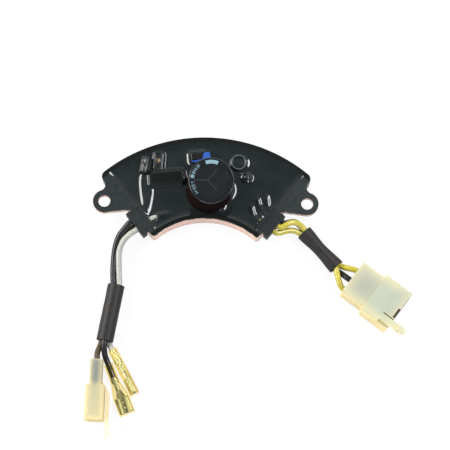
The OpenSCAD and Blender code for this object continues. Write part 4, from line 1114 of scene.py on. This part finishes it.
def sleeve_profile():
    """Radius and height of the sleeve's outer side, then of its inner side."""
    fold_in = CAP_R - FOLD_WIDTH
    outer = [(CAP_R - SLEEVE_LIP, 0.0), (CAP_R - 0.6, 0.0)]
    outer += [(CAP_R, z) for z in (0.6, 8.0, 20.0, 24.0)]
    for degrees in np.linspace(0, 90, 9):
        t = math.radians(degrees)
        r = CAP_R - SLEEVE_CORNER + SLEEVE_CORNER * math.cos(t)
        outer.append((r, CAP_H - SLEEVE_CORNER + SLEEVE_CORNER * math.sin(t)))
    outer += [(r, CAP_H) for r in np.linspace(CAP_R - SLEEVE_CORNER - 0.1, fold_in + 0.2, 16)]
    outer += [(fold_in + 0.06, CAP_H - 0.06), (fold_in, CAP_H - 0.2)]
    top, bore = CAP_H - SLEEVE_WALL, CAP_R - SLEEVE_WALL
    inner = [(fold_in, top), (bore, top), (bore, SLEEVE_WALL), (CAP_R - SLEEVE_LIP, SLEEVE_WALL)]
    return outer, inner


def sleeve_ink(r, z, a):
    """How strongly the sleeve is printed at a point of its outer side."""
    degrees, inward = math.degrees(a), CAP_R - r
    on_top = z > CAP_H - 0.15
    if on_top and (Vector((r * math.cos(a), r * math.sin(a))) - DOT_AT).length < DOT_R:
        return 0.9
    if on_top and any(abs(degrees - d) < half and low < inward < high for d, half, low, high in DASHES):
        return 0.6
    on_stripe = 1.0 < z < CAP_H - 1.2 or on_top and inward > 1.5
    return 1.0 if on_stripe and abs(degrees - STRIPE_AT) < STRIPE_HALF else 0.0


def build_capacitor_sleeve():
    place = Matrix.Translation((*CAP_AT, BOARD_TOP + CAP_STAND)) @ Matrix.Rotation(CAP_LEAN, 4, "Y")
    outer, inner = sleeve_profile()
    verts, mark = [], []
    for i, (r, z) in enumerate(outer + inner):
        on_fold = r < CAP_R - 0.9
        for k in range(SLEEVE_SEGMENTS):
            a = 2 * math.pi * k / SLEEVE_SEGMENTS
            wave = noise.noise(Vector((math.cos(a) * 1.6, math.sin(a) * 1.6, 0.3)))
            wavy_r = r + 0.16 * wave * (CAP_R - r) / FOLD_WIDTH if on_fold and z > CAP_H - 0.45 else r
            wavy_z = z + 0.05 * wave if on_fold and z > CAP_H - 0.05 else z
            verts.append(place @ Vector((wavy_r * math.cos(a), wavy_r * math.sin(a), wavy_z)))
            mark.append(sleeve_ink(r, z, a) if i < len(outer) else 0.0)
    faces = ring_quads(len(outer + inner), SLEEVE_SEGMENTS, closed=True)
    obj = mesh_object("main_capacitor_film", verts, faces, sharp=50)
    set_attribute(obj, "mark", mark)
    finish_piece(obj, print_mat, "main_capacitor_sleeve", slot="shrink_sleeve")


build_capacitor_sleeve()


# Film capacitor
BOXINESS = 0.42
FOLD_PITCH = 1.9
FILM_AROUND, FILM_UP = 128, 72


def boxy(value):
    return math.copysign(abs(value) ** BOXINESS, value)


def build_film_capacitor():
    """Dipped block with a crinkled coat: a boxy superellipsoid pushed into folds that run along it."""
    a, b, c = FILM_HALF
    base = Vector((*FILM_AT, BOARD_TOP + 0.3 + c))
    spin = Matrix.Rotation(math.radians(FILM_TURN), 3, "Z")
    verts = []
    for j in range(1, FILM_UP):
        lat = math.pi * (j / FILM_UP - 0.5)
        girth = boxy(math.cos(lat))
        for i in range(FILM_AROUND):
            lon = 2 * math.pi * i / FILM_AROUND
            across, along = a * girth * boxy(math.cos(lon)), b * girth * boxy(math.sin(lon))
            p = Vector((across, along, c * boxy(math.sin(lat))))
            drift = noise.noise(Vector((p.x * 0.3, p.y * 0.35, p.z * 0.3)))
            fold = 0.5 - 0.5 * math.cos(2 * math.pi * p.x / FOLD_PITCH + 2.4 * drift)
            inward = 0.32 * fold + 0.26 * (1 + noise.noise(Vector((p.x * 0.4, p.y * 0.28, p.z * 0.4))))
            p -= p.normalized() * max(0.0, min(inward, 0.9))
            verts.append(base + spin @ p)
    low, high = len(verts), len(verts) + 1
    last = low - FILM_AROUND
    verts += [base - Vector((0, 0, c - 0.3)), base + Vector((0, 0, c - 0.35))]
    faces = ring_quads(FILM_UP - 1, FILM_AROUND)
    for i in range(FILM_AROUND):
        n = (i + 1) % FILM_AROUND
        faces.append((n, i, low))
        faces.append((last + i, last + n, high))
    obj = mesh_object("film_capacitor_coat", verts, faces)
    finish_piece(obj, film_mat, "film_capacitor", slot="component_epoxy")


build_film_capacitor()


# Loom sleeves
SLEEVE_RINGS, SLEEVE_SIDES = 60, 64


def loom_sections(length):
    """Radius and place along the sleeve: its first end, outside, last end and bore."""
    outer, inner = LOOM_D / 2, LOOM_BORE / 2
    chamfer, lip = 0.12, 0.1
    shares = [k / SLEEVE_RINGS for k in range(SLEEVE_RINGS + 1)]
    sections = [(inner + lip, 0.0), (outer - chamfer, 0.0)]
    sections += [(outer, chamfer + (length - 2 * chamfer) * t) for t in shares]
    sections += [(outer - chamfer, length), (inner + lip, length)]
    sections += [(inner, length - lip - (length - 2 * lip) * t) for t in shares]
    return sections


def build_loom_sleeve(name, loom, seed, flare, waist):
    """Soft vinyl tube: a little out of round, with thick open ends."""
    sections = loom_sections(loom.length)
    verts = []
    for r, s in sections:
        outside = r > LOOM_BORE / 2 + 0.05
        spread = flare - waist * math.sin(math.pi * s / loom.length) ** 2 if outside else 0
        for k in range(SLEEVE_SIDES):
            t = 2 * math.pi * k / SLEEVE_SIDES
            sag = 0.10 * noise.noise(Vector((s * 0.16, math.cos(t) * 0.9 + seed, math.sin(t) * 0.9)))
            rr = r - 0.06 + min(sag, 0.05)
            x, y = turned(loom.at, loom.heading, s - loom.length / 2, (rr + spread) * math.cos(t))
            verts.append((x, y, LOOM_D / 2 + rr * math.sin(t)))
    faces = ring_quads(len(sections), SLEEVE_SIDES, closed=True)
    obj = mesh_object(name + "_tube", verts, faces, sharp=60)
    return finish_piece(obj, sleeve_mat, name, slot="loom_sleeve")


left_sleeve = build_loom_sleeve("left_loom_sleeve", LEFT_LOOM, seed=1.0, flare=0.4, waist=0.0)
right_sleeve = build_loom_sleeve("right_loom_sleeve", RIGHT_LOOM, seed=5.0, flare=0.25, waist=0.85)


# Rigid pieces with rounded edges
def dress(node_name, width, mat, slot, segments=2):
    obj = bevelled(node_name, node_name + "_moulding", width, segments)
    return finish_piece(obj, mat, node_name, slot=slot)


TERMINALS = ["flat_spade_terminal", "edge_spade_terminal", "one_way_blade"]
TERMINALS += [row + "_six_way_blade" for row in ("upper", "middle", "lower")]
BOOTS = ("flat_spade_boot", "edge_spade_boot")

dress("case", 0.35, tray_mat, "tray", segments=3)
dress("left_lead_block", 0.3, block_mat, "lead_block")
dress("right_lead_block", 0.3, block_mat, "lead_block")
dress("trimmer_body", 0.2, blue_mat, "trimmer_blue")
one_housing = dress("one_way_housing", 0.3, one_nylon_mat, "nylon")
six_housing = dress("six_way_housing", 0.35, six_nylon_mat, "nylon")
terminals = {name: dress(name, 0.12, tin_mat, "tin", segments=1) for name in TERMINALS}
boots = {name: dress(name, 0.1, clear_mat, "clear_vinyl") for name in BOOTS}

# CAD nodes that show as they are, or not at all
PLAIN_NODES = [
    (board_mat, ["circuit_board"]),
    (can_mat, ["main_capacitor_can", "small_capacitor_can"]),
    (brass_mat, ["trimmer_screw"]),
    (amber_mat, ["dropper_resistor", "board_resistors"]),
    (film_mat, ["driver_transistor", "power_transistor", "flyback_diode"]),
    (film_mat, ["bridge_rectifier", "small_capacitor_sleeve"]),
]
for mat, names in PLAIN_NODES:
    for name in names:
        nodes[name].data.materials.clear()
        nodes[name].data.materials.append(mat)
